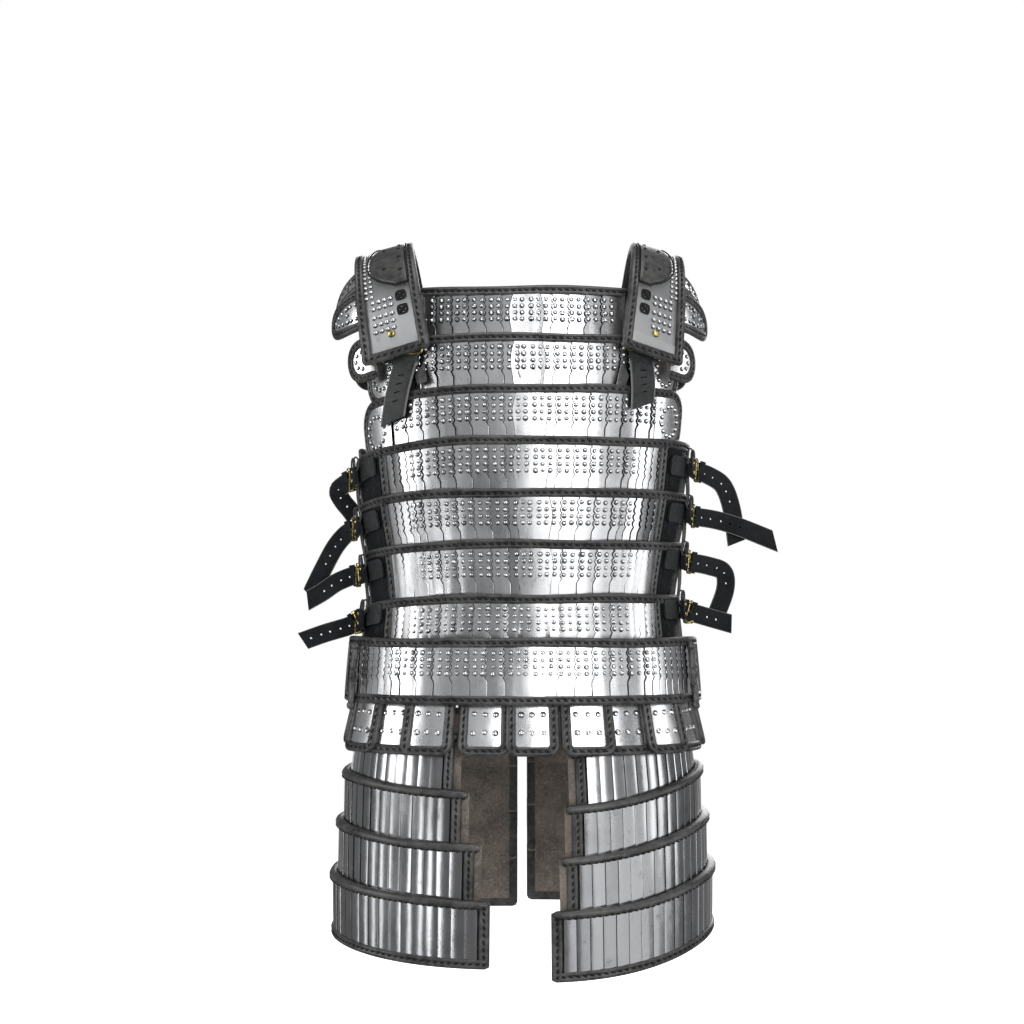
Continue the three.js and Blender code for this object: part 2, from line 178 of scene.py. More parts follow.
def angle_at_x(x, z):
    """The angle, in degrees from the front centre, at which the body is x to the side."""
    return math.asin((abs(x) / section_at(z)[0, 0]) ** (1 / ROUNDNESS)) / RAD


def run_along(path):
    """The length run from a path's first point to each of its points."""
    return np.concatenate([[0], np.cumsum(np.linalg.norm(np.diff(path, axis=0), axis=1))])


def girth(z, back=False):
    """Angles from the middle of the front, or the back, and the lengths round the body that they lie at."""
    angles = np.linspace(0, 180, 721)
    lengths = run_along(body_point(angles, z, 0))
    if back:
        return 180 - angles[::-1], lengths[-1] - lengths[::-1]
    return angles, lengths


def strap_at(half, degrees, across):
    """Points on a shoulder strap, by degrees from its crown, negative in front, and by a share across it."""
    degrees, across = (np.atleast_1d(a).astype(float) for a in np.broadcast_arrays(degrees, across))
    low = 1 - np.abs(np.cos(degrees * RAD)) ** STRAP["curve"]
    reach = STRAP["in_front"] + (STRAP["out_front"] - STRAP["in_front"]) * across
    reach = reach * np.where(degrees > 0, STRAP["back"], 1)
    top = half["top_in"] + (half["top_out"] - half["top_in"]) * across
    end = half["end_in"] + (half["end_out"] - half["end_in"]) * across
    return np.stack([
        half["side"] * (top + (end - top) * low),
        np.sign(degrees) * reach * np.abs(np.sin(degrees * RAD)) ** STRAP["curve"],
        STRAP["rise"] + STRAP["slope"] * across - STRAP["drop"] * low - 3 * across * low,
    ], -1)


def unit(vectors):
    """Vectors brought to a length of one."""
    return vectors / np.linalg.norm(vectors, axis=-1, keepdims=True)


def strap_frame(half, degrees, across):
    """Along the strap to the back, out to the arm, and up off the strap."""
    degrees, across = (np.atleast_1d(a).astype(float) for a in np.broadcast_arrays(degrees, across))
    low, high = np.maximum(-90, degrees - 1), np.minimum(90, degrees + 1)
    along = unit(strap_at(half, high, across) - strap_at(half, low, across))
    outward = unit(strap_at(half, degrees, 1) - strap_at(half, degrees, 0))
    return along, outward, unit(np.cross(outward, along)) * half["side"]


# ---------------------------------------------------------------- flat making
# each vertex's tint carries random tone, pale cut edges, and painted shade in seams and round bumps
tints = {}  # a flat piece's own shade, by its mesh's name: one value to a vertex


def coordinates(mesh):
    """A mesh's vertices as an array of (vertex, 3)."""
    co = np.empty(len(mesh.vertices) * 3, np.float32)
    mesh.vertices.foreach_get("co", co)
    return co.reshape(-1, 3).astype(float)


def set_coordinates(mesh, co):
    """Moves a mesh's vertices to an array of (vertex, 3)."""
    mesh.vertices.foreach_set("co", np.ascontiguousarray(co, np.float32).ravel())
    mesh.update()


def to_mesh(bm):
    """Ends a bmesh, and gives what it made as a new mesh."""
    mesh = bpy.data.meshes.new("flat")
    bm.to_mesh(mesh)
    bm.free()
    return mesh


def thickened(bm):
    """Gives flat faces a far side, and returns its vertices for the caller to move."""
    made = bmesh.ops.extrude_face_region(bm, geom=bm.faces[:], use_keep_orig=True)
    return [g for g in made["geom"] if isinstance(g, bmesh.types.BMVert)]


def cut(outline, thick, every=(12, 12), cuts=None, crown=0):
    """A flat piece cut to an outline of (s, t) points, creased finely enough to bend; crown domes its top."""
    bm = bmesh.new()
    outline = np.asarray(outline, float)
    bm.faces.new([bm.verts.new((s, t, 0)) for s, t in outline])
    bmesh.ops.translate(bm, vec=(0, 0, thick), verts=thickened(bm))
    low, high = outline.min(0), outline.max(0)
    for axis, normal in enumerate((Vector((1, 0, 0)), Vector((0, 1, 0)))):
        count = int((high[axis] - low[axis]) // every[axis])
        places = [low[axis] + (high[axis] - low[axis]) * (k + 1) / (count + 1) for k in range(count)]
        if cuts is not None and axis == 0:
            places = cuts
        for place in places:
            bmesh.ops.bisect_plane(bm, geom=bm.verts[:] + bm.edges[:] + bm.faces[:], dist=0.01,
                                   plane_co=normal * place, plane_no=normal)
    if crown:
        middle, half = (low[0] + high[0]) / 2, (high[0] - low[0]) / 2
        for vert in bm.verts:
            vert.co.z += crown * (1 - ((vert.co.x - middle) / half) ** 2)
    return to_mesh(bm)


def block(s0, t0, s1, t1):
    """The four corners of a block, from one corner to the opposite one."""
    return [(s0, t0), (s1, t0), (s1, t1), (s0, t1)]


def loft(rings, closed=False):
    """A closed bar through rings, an array of (ring, point, 3); closed joins its last ring to its first."""
    count, sides = rings.shape[:2]
    n_along = count + 1 if closed else count
    bm = bmesh.new()
    bmesh.ops.create_grid(bm, x_segments=n_along - 1, y_segments=sides, size=0.5)
    for vert in bm.verts:
        i = round((vert.co.x + 0.5) * (n_along - 1)) % count
        j = round((vert.co.y + 0.5) * sides) % sides
        vert.co = rings[i, j]
    bmesh.ops.remove_doubles(bm, verts=bm.verts, dist=1e-5)
    bmesh.ops.holes_fill(bm, edges=[e for e in bm.edges if e.is_boundary], sides=sides + 1)
    return to_mesh(bm)


def inward_of(path, closed):
    """Unit vectors to the inside of a flat path that runs clockwise, as seen with t down."""
    before, after = np.roll(path, 1, 0), np.roll(path, -1, 0)
    if not closed:
        before[0], after[-1] = path[0], path[-1]
    along = unit(after - before)
    return np.stack([-along[:, 1], along[:, 0]], -1)


# the sections of an edge's folded leather and of a skirt row's roll, as (inward, out)
FOLD = [(9.9, 2.6), (10.2, 5.4), (9.3, 7.0), (7.6, 7.8), (5.9, 6.5), (3.5, 6.5), (1.8, 7.8), (0.0, 7.1),
        (-1.3, 5.2), (-1.6, 2.2), (-0.8, -0.3), (1.0, -1.3), (9.4, -1.3)]
ROLL = [(8.6, 1.0), (9.2, 4.4), (8.0, 7.2), (5.6, 8.9), (3.0, 9.2), (0.4, 7.9), (-1.4, 5.2), (-1.8, 2.2),
        (-1.0, -0.4), (1.0, -1.6), (8.0, -1.6)]


def edging(path, profile=FOLD, closed=False, scale=1.0):
    """Leather folded over the edge that a path follows, with the section that profile gives."""
    path, profile = np.asarray(path, float), np.asarray(profile, float) * scale
    inward = inward_of(path, closed)
    rings = np.empty((len(path), len(profile), 3))
    rings[:, :, :2] = path[:, None, :] + inward[:, None, :] * profile[None, :, :1]
    rings[:, :, 2] = profile[None, :, 1]
    if not closed:  # the ends are pulled in, so that they look turned under
        for end, step in ((0, 1), (-1, -1)):
            first = rings[end].copy()
            rings[end] = first + (first.mean(0) - first) * 0.35
            rings[end + step] = rings[end + step] * 0.7 + (first + (rings[end + step] - first) * 0.25) * 0.3
    return loft(rings, closed)


def spaced(path, pitch, closed=False, inset=0.0):
    """Even places along a flat path, moved to its inside, and the direction at each."""
    path = np.asarray(path, float)
    path = path + inward_of(path, closed) * inset
    if closed:
        path = np.vstack([path, path[:1]])
    run = run_along(path)
    count = max(1, round(run[-1] / pitch))
    at = (np.arange(count) + 0.5) * run[-1] / count

    def point(where):
        return np.stack([np.interp(where, run, path[:, k]) for k in (0, 1)], -1)

    return point(at), unit(point(at + 0.5) - point(at - 0.5))


def copies(template, count):
    """That many copies of a mesh as one, in order."""
    if count == 1:
        return template
    half = copies(template, count // 2)
    bm = bmesh.new()
    for part in [half, half] + [template] * (count % 2):
        bm.from_mesh(part)
    return to_mesh(bm)


def stamp(template, moves, shades=None):
    """Copies of a template, one for each 4 by 4 move, as one flat mesh."""
    moves = np.asarray(moves, float)
    base = coordinates(template)
    mesh = copies(template, len(moves)).copy()
    co = np.einsum("nij,vj->nvi", moves[:, :3, :3], base) + moves[:, None, :3, 3]
    set_coordinates(mesh, co.reshape(-1, 3))
    own = np.tile(tints.get(template.name, np.zeros(len(base))), len(moves))
    shades = np.zeros(len(moves)) if shades is None else np.asarray(shades, float)
    tints[mesh.name] = own + np.repeat(shades, len(base))
    return mesh


def shaded_below(mesh, level, share=-3.0):
    """Darkens a template's vertices below a level: painted shade round the foot of a bump or under an edge.
    """
    tints[mesh.name] = np.where(coordinates(mesh)[:, 2] < level, share, 0.0)
    return mesh


def move(s, t, n, along=(1, 0), scale=(1, 1, 1), tilt=0.0):
    """Sets a template down at (s, t, n), its x turned to along; tilt lifts it towards its x."""
    made = np.eye(4)
    made[:2, 0] = np.array(along) * scale[0]
    made[:2, 1] = np.array((-along[1], along[0])) * scale[1]
    made[2, 2] = scale[2]
    made[2, 0] = tilt
    made[:3, 3] = s, t, n
    return made


def turned(along, degrees):
    """A flat direction turned by so many degrees."""
    c, s = math.cos(degrees * RAD), math.sin(degrees * RAD)
    return along[0] * c - along[1] * s, along[0] * s + along[1] * c


def corner_path(points, radii, step, closed=False):
    """A flat path through points, its corners rounded to their radii and its straights cut into steps."""
    points = [np.array(p, float) for p in points]
    count = len(points)
    groups = []
    for i, (p, r) in enumerate(zip(points, radii)):
        if r == 0 or (not closed and i in (0, count - 1)):
            groups.append([p])
            continue
        a, b = unit(points[i - 1] - p), unit(points[(i + 1) % count] - p)
        reach = r / math.tan(math.acos(np.clip(a @ b, -1, 1)) / 2)
        centre = p + unit(a + b) * math.hypot(r, reach)
        first, last = p + a * reach - centre, p + b * reach - centre
        swing = math.acos(np.clip(unit(first) @ unit(last), -1, 1))
        parts = max(3, int(r * swing / 4))
        shares = np.linspace(0, 1, parts + 1)
        groups.append([centre + (math.sin((1 - k) * swing) * first + math.sin(k * swing) * last)
                       / math.sin(swing) for k in shares])
    path = []
    for i, group in enumerate(groups):
        path += group
        if i + 1 < count or closed:
            gap = groups[(i + 1) % count][0] - group[-1]
            parts = int(np.linalg.norm(gap) // step)
            path += [group[-1] + gap * k / (parts + 1) for k in range(1, parts + 1)]
    return np.array(path)


def straight(points, step):
    """A flat path through points, its corners left sharp."""
    return corner_path(points, [0] * len(points), step)


def inset_outline(path, by):
    """A closed outline moved to its inside."""
    return path + inward_of(path, True) * by


# ---------------------------------------------------------------- small templates
def boss(radius, height, sides=8):
    """A punched bump: a blunt cone with a low point on top."""
    bm = bmesh.new()
    bmesh.ops.create_cone(bm, cap_ends=True, segments=sides, radius1=radius, radius2=radius * 0.55,
                          depth=height, matrix=Matrix.Translation((0, 0, height / 2 - 0.15)))
    top = max(bm.faces, key=lambda f: f.calc_center_median().z)
    poked = bmesh.ops.poke(bm, faces=[top])
    bmesh.ops.translate(bm, vec=(0, 0, height * 0.32), verts=poked["verts"])
    return to_mesh(bm)


def stitch(length, width, height):
    """One stitch of lace, a short arched bar along x, sunk at its ends."""
    bm = bmesh.new()
    bmesh.ops.create_grid(bm, x_segments=4, y_segments=1, size=0.5)
    upper = set(thickened(bm))
    for vert in bm.verts:
        along = vert.co.x * 2
        swell = math.sqrt(max(0.0, 1 - along * along * 0.75))
        narrow = 0.62 if vert in upper else 1.0
        vert.co = (vert.co.x * length, vert.co.y * width * swell * narrow,
                   height * swell if vert in upper else -0.4)
    return to_mesh(bm)


def dome(radius, height, sides):
    """A round rivet head or knob."""
    bm = bmesh.new()
    bmesh.ops.create_uvsphere(bm, u_segments=sides, v_segments=8, radius=radius)
    bmesh.ops.scale(bm, vec=(1, 1, height / radius), verts=bm.verts)
    return to_mesh(bm)


ASKEW = np.array((0.31, 0.87, 0.38))  # a direction that no thong runs along


def round_about(count):
    """Even turns round a circle, in radians."""
    return np.linspace(0, 2 * math.pi, count, endpoint=False)


def tube(points, radius, sides=8, closed=False):
    """A round thong along points in space."""
    points = np.asarray(points, float)
    before, after = np.roll(points, 1, 0), np.roll(points, -1, 0)
    if not closed:
        before[0], after[-1] = points[0], points[-1]
    along = unit(after - before)
    side = unit(np.cross(along, ASKEW))
    up = np.cross(side, along)
    turn = round_about(sides)
    rings = points[:, None, :] + radius * (side[:, None, :] * np.cos(turn)[None, :, None]
                                           + up[:, None, :] * np.sin(turn)[None, :, None])
    return loft(rings, closed)


def smooth_path(points, step):
    """A smooth curve through points in space, cut into steps."""
    p = np.asarray(points, float)
    p = np.vstack([2 * p[0] - p[1], p, 2 * p[-1] - p[-2]])
    made = []
    for i in range(1, len(p) - 2):
        gap = np.linalg.norm(p[i + 1] - p[i])
        for t in np.linspace(0, 1, max(2, int(gap / step)), endpoint=False):
            made.append(0.5 * (2 * p[i] + (p[i + 1] - p[i - 1]) * t
                               + (2 * p[i - 1] - 5 * p[i] + 4 * p[i + 1] - p[i + 2]) * t * t
                               + (3 * p[i] - p[i - 1] - 3 * p[i + 1] + p[i + 2]) * t**3))
    return np.array(made + [p[-2]])


# the bumps, stitches and rivet heads: radius or length, width, and height
# the bump templates are darkened round their feet: painted shade
BOSS = shaded_below(boss(3.25, 2.5), 0.5, -3.4)
BIG_BOSS = shaded_below(boss(3.9, 2.6, 10), 0.5)
LACE = stitch(6.0, 2.9, 1.2)
THREAD = stitch(4.4, 2.0, 1.2)
RIVET = dome(2.6, 1.6, 10)

# ---------------------------------------------------------------- materials
def linear(value):
    """One channel's light from its value on screen, 0 to 255."""
    v = value / 255
    return v / 12.92 if v <= 0.04045 else ((v + 0.055) / 1.055) ** 2.4


def screen(r, g, b):
    """A colour from its values on screen."""
    return linear(r), linear(g), linear(b), 1


def times(colour, share):
    """A colour made darker or lighter."""
    return tuple(min(1, c * share) for c in colour[:3]) + (1,)


class Nodes:
    """A material's nodes, laid as they are made."""

    def __init__(self, name):
        self.material = bpy.data.materials.new(name)
        self.material.use_nodes = True
        self.tree = self.material.node_tree
        self.shader = self.tree.nodes["Principled BSDF"]

    def node(self, kind, links=None, **values):
        made = self.tree.nodes.new(kind)
        for key, value in values.items():
            if hasattr(made, key):
                setattr(made, key, value)
            else:
                made.inputs[key.replace("_", " ")].default_value = value
        for socket, source in (links or {}).items():
            self.tree.links.new(source, made.inputs[socket])
        return made

    def tint(self):
        """The tint that a piece's own vertices carry: random tone, pale cut edges, and painted shade in seams
        and round bumps.
        """
        return self.node("ShaderNodeAttribute", attribute_name="tint").outputs["Fac"]

    def place(self, scale=(1, 1, 1)):
        coordinates_node = self.node("ShaderNodeTexCoord")
        mapping = self.node("ShaderNodeMapping", {"Vector": coordinates_node.outputs["Object"]})
        mapping.inputs["Scale"].default_value = scale
        return mapping.outputs["Vector"]

    def noise(self, scale, vector=None, detail=3.0, roughness=0.55):
        return self.node("ShaderNodeTexNoise", {"Vector": vector or self.place()}, Scale=scale, Detail=detail,
                         Roughness=roughness).outputs["Fac"]

    def ramp(self, source, stops):
        made = self.node("ShaderNodeValToRGB", {"Fac": source})
        elements = made.color_ramp.elements
        while len(elements) < len(stops):
            elements.new(0.5)
        for element, (at, colour) in zip(elements, stops):
            element.position = at
            element.color = colour if isinstance(colour, tuple) else (colour, colour, colour, 1)
        return made.outputs["Color"]

    def mixed(self, share, a, b, blend="MIX"):
        made = self.node("ShaderNodeMix", data_type="RGBA", blend_type=blend)
        for socket, source in ((made.inputs[0], share), (made.inputs[6], a), (made.inputs[7], b)):
            if isinstance(source, (int, float, tuple)):
                socket.default_value = source
            else:
                self.tree.links.new(source, socket)
        return made.outputs[2]

    def math(self, operation, a, b=0.0, c=0.0):
        made = self.node("ShaderNodeMath", operation=operation)
        for socket, source in zip(made.inputs, (a, b, c)):
            if isinstance(source, (int, float)):
                socket.default_value = source
            else:
                self.tree.links.new(source, socket)
        return made.outputs[0]

    def bump(self, height, strength, distance, after=None):
        links = {"Height": height}
        if after:
            links["Normal"] = after
        return self.node("ShaderNodeBump", links, Strength=strength, Distance=distance).outputs["Normal"]

    def set(self, **values):
        for key, value in values.items():
            socket = self.shader.inputs[key.replace("_", " ")]
            if isinstance(value, (int, float, tuple)):
                socket.default_value = value
            else:
                self.tree.links.new(value, socket)
        return self.material


def steel_finish(name, base, rough):
    """Semi-polished spring steel: hand-planished waves, fine rubbing marks, a faint cloud of old oil, and
    painted shadow in the seams and round the bumps, from the tint.
    """
    m = Nodes(name)
    shade = m.tint()
    cloud = m.noise(22, detail=4)
    marks = m.noise(900, m.place((1, 1, 0.06)), detail=2)
    waves = m.noise(55, m.place((1, 1, 0.5)), detail=1)
    specks = m.ramp(m.noise(420, detail=5), [(0.60, 0.0), (0.74, 1.0)])
    smears = m.ramp(m.noise(64, m.place((1, 1, 0.6)), detail=5, roughness=0.7), [(0.60, 0.0), (0.70, 1.0)])
    # seam turns deep tints into painted shadow: dark seams between plates and dark rings round the bumps
    seam = m.ramp(m.math("MULTIPLY_ADD", shade, -0.5, -0.6), [(0.0, 0.0), (0.9, 1.0)])
    level = m.math("MULTIPLY_ADD", shade, 0.22, m.math("MULTIPLY_ADD", cloud, 0.6, 0.2))
    colour = m.ramp(level, [(0.15, times(base, 0.72)), (0.5, base), (0.85, times(base, 1.14))])
    colour = m.mixed(m.math("MULTIPLY", specks, 0.25), colour, times(base, 0.5))
    colour = m.mixed(m.math("MULTIPLY", smears, 0.38), colour, times(base, 0.3))
    colour = m.mixed(seam, colour, SEAM_SHADOW_COLOUR)
    rubbing = m.math("MULTIPLY_ADD", cloud, 0.16, rough - 0.12)
    roughness = m.math("MULTIPLY_ADD", marks, 0.10, rubbing)
    normal = m.bump(waves, 0.26, 0.0012)
    normal = m.bump(marks, 0.10, 0.0002, normal)
    return m.set(Base_Color=colour, Roughness=roughness, Normal=normal, Metallic=1.0)


def leather_finish(name, dark, light, rough, coarse=1.0, shine=0.3):
    """Dyed harness leather: fine grain, soft creases, paler rubbed places, and a raw cut edge."""
    m = Nodes(name)
    shade = m.tint()
    grain = m.node("ShaderNodeTexVoronoi", {"Vector": m.place()}, Scale=900 * coarse).outputs["Distance"]
    creases = m.noise(160 * coarse, detail=5, roughness=0.65)
    cloud = m.noise(28, detail=3)
    wear = m.math("MULTIPLY_ADD", creases, 0.6, m.math("MULTIPLY", cloud, 0.5))
    rubbed = m.ramp(wear, [(0.42, 0.0), (0.66, 1.0)])
    rims = m.ramp(m.noise(70 * coarse, detail=6, roughness=0.75), [(0.52, 0.0), (0.64, 1.0)])
    cut_edge = m.ramp(m.math("MULTIPLY_ADD", shade, 0.5, -0.6), [(0.0, 0.0), (0.9, 1.0)])
    colour = m.mixed(rubbed, dark, light)
    colour = m.mixed(m.math("MULTIPLY", rims, 0.35), colour, times(light, 1.7))
    colour = m.mixed(m.math("MULTIPLY_ADD", shade, 0.25, 0.25), colour, light, "SOFT_LIGHT")
    colour = m.mixed(cut_edge, colour, CUT_EDGE)
    roughness = m.math("MULTIPLY_ADD", creases, 0.25, rough - 0.12)
    normal = m.bump(creases, 0.5, 0.0014)
    normal = m.bump(grain, 0.25, 0.0004, normal)
    return m.set(Base_Color=colour, Roughness=roughness, Normal=normal, Specular_IOR_Level=shine)


# the colour of the painted shadow in seams and round bumps
SEAM_SHADOW_COLOUR = (0.02, 0.02, 0.022, 1)
CUT_EDGE = screen(92, 92, 91)
STEEL = steel_finish("planished_steel", screen(200, 201, 203), 0.27)
SKIRT_STEEL = steel_finish("satin_steel", screen(152, 153, 155), 0.22)
SHOULDER_STEEL = steel_finish("brushed_steel", screen(154, 155, 156), 0.4)
LEATHER = leather_finish("black_leather", screen(12, 12, 12), screen(60, 60, 59), 0.42, 1.0, 0.5)
# painted shade: a darker copy of the strap leather, for the side straps, which turn away from the light, and
# the row end panels, which lie in a recess
SHADED_STRAP_LEATHER = leather_finish("shaded_strap_leather", screen(5, 8, 10), screen(20, 24, 28), 0.6, 1.3, 0.12)
STRAP_LEATHER = leather_finish("strap_leather", screen(10, 12, 13), screen(34, 37, 38), 0.5, 1.3)
LACING = leather_finish("waxed_lace", screen(4, 4, 5), screen(14, 14, 15), 0.75, 1.6)
SUEDE = leather_finish("suede_lining", screen(74, 69, 65), screen(108, 101, 95), 0.92, 2.2)


def brass_finish():
    """Cast brass, dull in some places and rubbed bright in others, after a cloud of noise."""
    m = Nodes("rubbed_brass")
    cloud = m.noise(260, detail=4)
    colour = m.ramp(cloud, [(0.35, screen(104, 92, 58)), (0.62, screen(206, 188, 124))])
    roughness = m.math("MULTIPLY_ADD", cloud, 0.25, 0.24)
    normal = m.bump(m.noise(1500, detail=2), 0.15, 0.0003)
    return m.set(Base_Color=colour, Roughness=roughness, Normal=normal, Metallic=1.0)


BRASS = brass_finish()
LOOKS = {"steel": STEEL, "satin": SKIRT_STEEL, "brushed": SHOULDER_STEEL, "leather": LEATHER,
         "strap": STRAP_LEATHER, "strapping": SHADED_STRAP_LEATHER, "lace": LACING, "suede": SUEDE, "brass": BRASS}
SHARP = 38  # degrees past which an edge stays crisp


# ---------------------------------------------------------------- finishing pieces
def finished(name, meshes, look, nodes, place=None):
    """Joins flat meshes, bends them to their place, and makes them a piece that stands for its nodes."""
    bm = bmesh.new()
    for mesh in meshes:
        bm.from_mesh(mesh)
    joined = to_mesh(bm)
    shade = np.concatenate([tints.get(mesh.name, np.zeros(len(mesh.vertices))) for mesh in meshes])
    co = coordinates(joined)
    if place:
        co = place(co)
    set_coordinates(joined, co * MM)
    bm = bmesh.new()
    bm.from_mesh(joined)
    bmesh.ops.recalc_face_normals(bm, faces=bm.faces)
    bm.to_mesh(joined)
    bm.free()
    joined.name = name
    layer = joined.attributes.new("tint", "FLOAT", "POINT")
    layer.data.foreach_set("value", np.ascontiguousarray(shade, np.float32))
    joined.shade_smooth()
    joined.set_sharp_from_angle(angle=SHARP * RAD)
    piece = bpy.data.objects.new(name, joined)
    scene.collection.objects.link(piece)
    joined.materials.append(LOOKS[look])
    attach(piece, "root")
    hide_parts(*nodes)
    return piece


def lay(name, parts, nodes, place, sheet=None):
    """Finishes a panel's parts, one piece to each look; sheet names the look that is a cut sheet, whose flat
    points are gathered but not used.
    """
    made = {look: finished(f"{name}_{look}", meshes, look, nodes, place)
            for look, meshes in parts.items() if meshes}
    if sheet:
        flat = np.vstack([coordinates(mesh) for mesh in parts[sheet]])
    return made


def wobble(s, t, seed, size=0.7):
    """A hand-sewn waver along a top edge, gone 30 mm below it."""
    waver = size * (np.sin(s / 23 + seed * 1.7) * 0.6 + np.sin(s / 41 + seed * 2.9))
    return waver * np.clip(1 - t / 30, 0, 1)


# ---------------------------------------------------------------- lamellae
PITCH = 20.4
BUMP_ROWS = (16.5, 24.8, 33.1, 41.4)
COLUMN = 4.5  # how far a lame's two columns of bumps lie from its middle
MIDDLE_COLUMN = 5.6  # and those of the middle lame


def lamella_outline(height):
    """One lame: its free edge, at +s, is scalloped round the bumps and then flares to a straight foot."""
    points = [(-20, 2.5), (6.2, 2.5), (6.4, 11.0)]
    for t in BUMP_ROWS:
        points += [(COLUMN + out, t + down) for out, down in ((1.5, -4.1), (3.3, -2.2), (3.9, 0), (3.3, 2.2))]
    points += [(COLUMN + 1.6, 45.4), (7.4, 48.0), (9.2, 51.5), (9.5, 55.0)]
    return points + [(9.5, height - 1), (-20, height - 1)]


def centre_outline(height):
    """The middle lame, barrel shaped, that lies over both its neighbours."""
    right = [(14.5, 2.5), (17.0, 11.0), (19.5, 20.0), (20.8, 29.0), (20.9, 38.0), (19.6, 46.0),
             (18.0, 54.0), (16.4, height - 1)]
    return [(-s, t) for s, t in reversed(right)] + right


THICK = 1.1
LAME_LOW, MIDDLE_LOW = 3.1, 4.4  # how high a lame's under side lies above the backing, and the middle lame's
LAME_TILT, CROWD_TILT = 0.09, 0.16  # how a lame leans on the next, and where they lie close together
STIFF = (99, 99)  # no creases, because a lame keeps its shape
# painted shadow: the tint that darkens the seam edges of plates
SEAM_SHADOW = -6.0  # the dark line where one plate lies on another
BEVEL = 1.1  # how far a free edge slopes


def free_edge(mesh, both=False):
    """Slopes a lame's free edge, or both its edges, and paints shadow on the sloped foot so that the seam
    shows as a dark line.
    """
    co = coordinates(mesh)
    low = co[:, 2] < THICK * 0.5
    co[:, 0] += np.where(low & (co[:, 0] > 3), BEVEL, 0) - np.where(low & (co[:, 0] < -3) & both, BEVEL, 0)
    seam = low & ((co[:, 0] > 3) | both)
    set_coordinates(mesh, co)
    tints[mesh.name] = np.where(seam, SEAM_SHADOW, 0.0)
    return mesh


MIDDLE_HALF = 8.6  # half of what the middle lame takes up of its row
CROWD = 9.6  # how close the lames lie near the ends of the rows
NEVER = 1e3  # further out than any row reaches
# painted shade: crowded lames near a row's end are drawn darker
END_DARK, DARKER = 36, 1.3  # how far from a row's end crowded lames turn darker, and by how much


def lames(height, reach, centre, in_field, crowd):
    """Lames and their bumps from the middle out to both ends: a list of flat meshes.

    in_field says where bumps are wanted. Past crowd the lames lie close together and have none.
    """
    outline, middle_outline = lamella_outline(height), centre_outline(height)
    template = free_edge(cut(outline, THICK, cuts=(-6, 0.5), every=STIFF, crown=0.75))
    middle = free_edge(cut(middle_outline, THICK, cuts=(-10, 0, 10), every=STIFF, crown=0.7), True)
    moves, shades, dots, dot_shades = [], [], [], []

    def bump_at(s, t, n):
        if in_field(s, t):
            size = rng.uniform(0.86, 1.1)
            scale = (size, size * rng.uniform(0.9, 1.1), size)
            dots.append(move(s, t, n, scale=scale, tilt=rng.uniform(-0.2, 0.2)))
            dots[-1][2, 1] = rng.uniform(-0.2, 0.2)
            dot_shades.append(rng.uniform(-0.5, 0.5))

    for side in (-1, 1):
        s = centre + side * (MIDDLE_HALF + PITCH * 0.5)
        while abs(s) < reach - 9:
            crowded = abs(s) > crowd
            shift, shade = rng.uniform(-0.6, 0.6), rng.uniform(-1, 1)
            lean = CROWD_TILT if crowded else LAME_TILT
            lame = move(s + shift, rng.uniform(-0.5, 0.5), LAME_LOW, scale=(-side, 1, 1),
                        tilt=lean * rng.uniform(0.75, 1.25))
            lame[2, 1] = rng.uniform(-0.012, 0.012)
            lame[2, 3] -= lame[2, 1] * height / 2
            moves.append(lame)
            # painted shade on the crowded lames nearest the row's end
            shades.append(shade - DARKER if crowded and abs(s) > reach - END_DARK else shade)
            if not crowded:
                for t in BUMP_ROWS:
                    for column in (-COLUMN, COLUMN):
                        top = LAME_LOW + THICK + 0.6 + LAME_TILT * column
                        across = s + shift - side * column + rng.uniform(-0.35, 0.35)
                        bump_at(across, t + rng.uniform(-0.35, 0.35), top)
            s += side * (CROWD if abs(s) + PITCH > crowd else PITCH)
    for t in BUMP_ROWS:
        for column in (-MIDDLE_COLUMN, MIDDLE_COLUMN):
            bump_at(centre + column, t, MIDDLE_LOW + THICK + 0.75)
    made = [stamp(template, moves, shades), stamp(middle, [move(centre, 0, MIDDLE_LOW)], [0.2])]
    if dots:
        made.append(stamp(BOSS, dots, dot_shades))
    return made


def stitched(path, closed=False, inset=4.7, pitch=8.3, level=6.3, slant=16, template=LACE):
    """Lace stitches along the groove of an edging, slanted as they are drawn through."""
    points, alongs = spaced(path, pitch, closed, inset)
    moves = [move(p[0], p[1], level, turned(a, slant + rng.uniform(-6, 6)),
                  (rng.uniform(0.9, 1.05), rng.uniform(0.85, 1.1), 1)) for p, a in zip(points, alongs)]
    return stamp(template, moves, rng.uniform(-0.5, 1, len(moves)))


def sewn(path, pitch, level, closed=False, inset=0.0):
    """The moves that set an even line of thread along a path."""
    return [move(p[0], p[1], level, a) for p, a in zip(*spaced(path, pitch, closed, inset))]


def raised(mesh, by, shade=None):
    """Lifts a flat mesh off the backing, and may give it one shade all over."""
    co = coordinates(mesh)
    co[:, 2] += by
    set_coordinates(mesh, co)
    if shade is not None:
        tints[mesh.name] = np.full(len(co), shade)
    return mesh


def lace_cross(s, t, size, level):
    """A square of thong drawn through four holes and crossed twice: the tie that joins two layers."""
    half = size / 2
    edges = [((0, -half), 0), ((0, half), 0), ((-half, 0), 90), ((half, 0), 90)]
    made = [move(s + a, t + b, level, turned((1, 0), turn), (size / 6.0, 1.25, 1.1))
            for (a, b), turn in edges]
    made += [move(s, t, level + 0.6 * k, turned((1, 0), turn), (size / 4.8, 1.3, 1.3))
             for k, turn in enumerate((45, 135))]
    return made


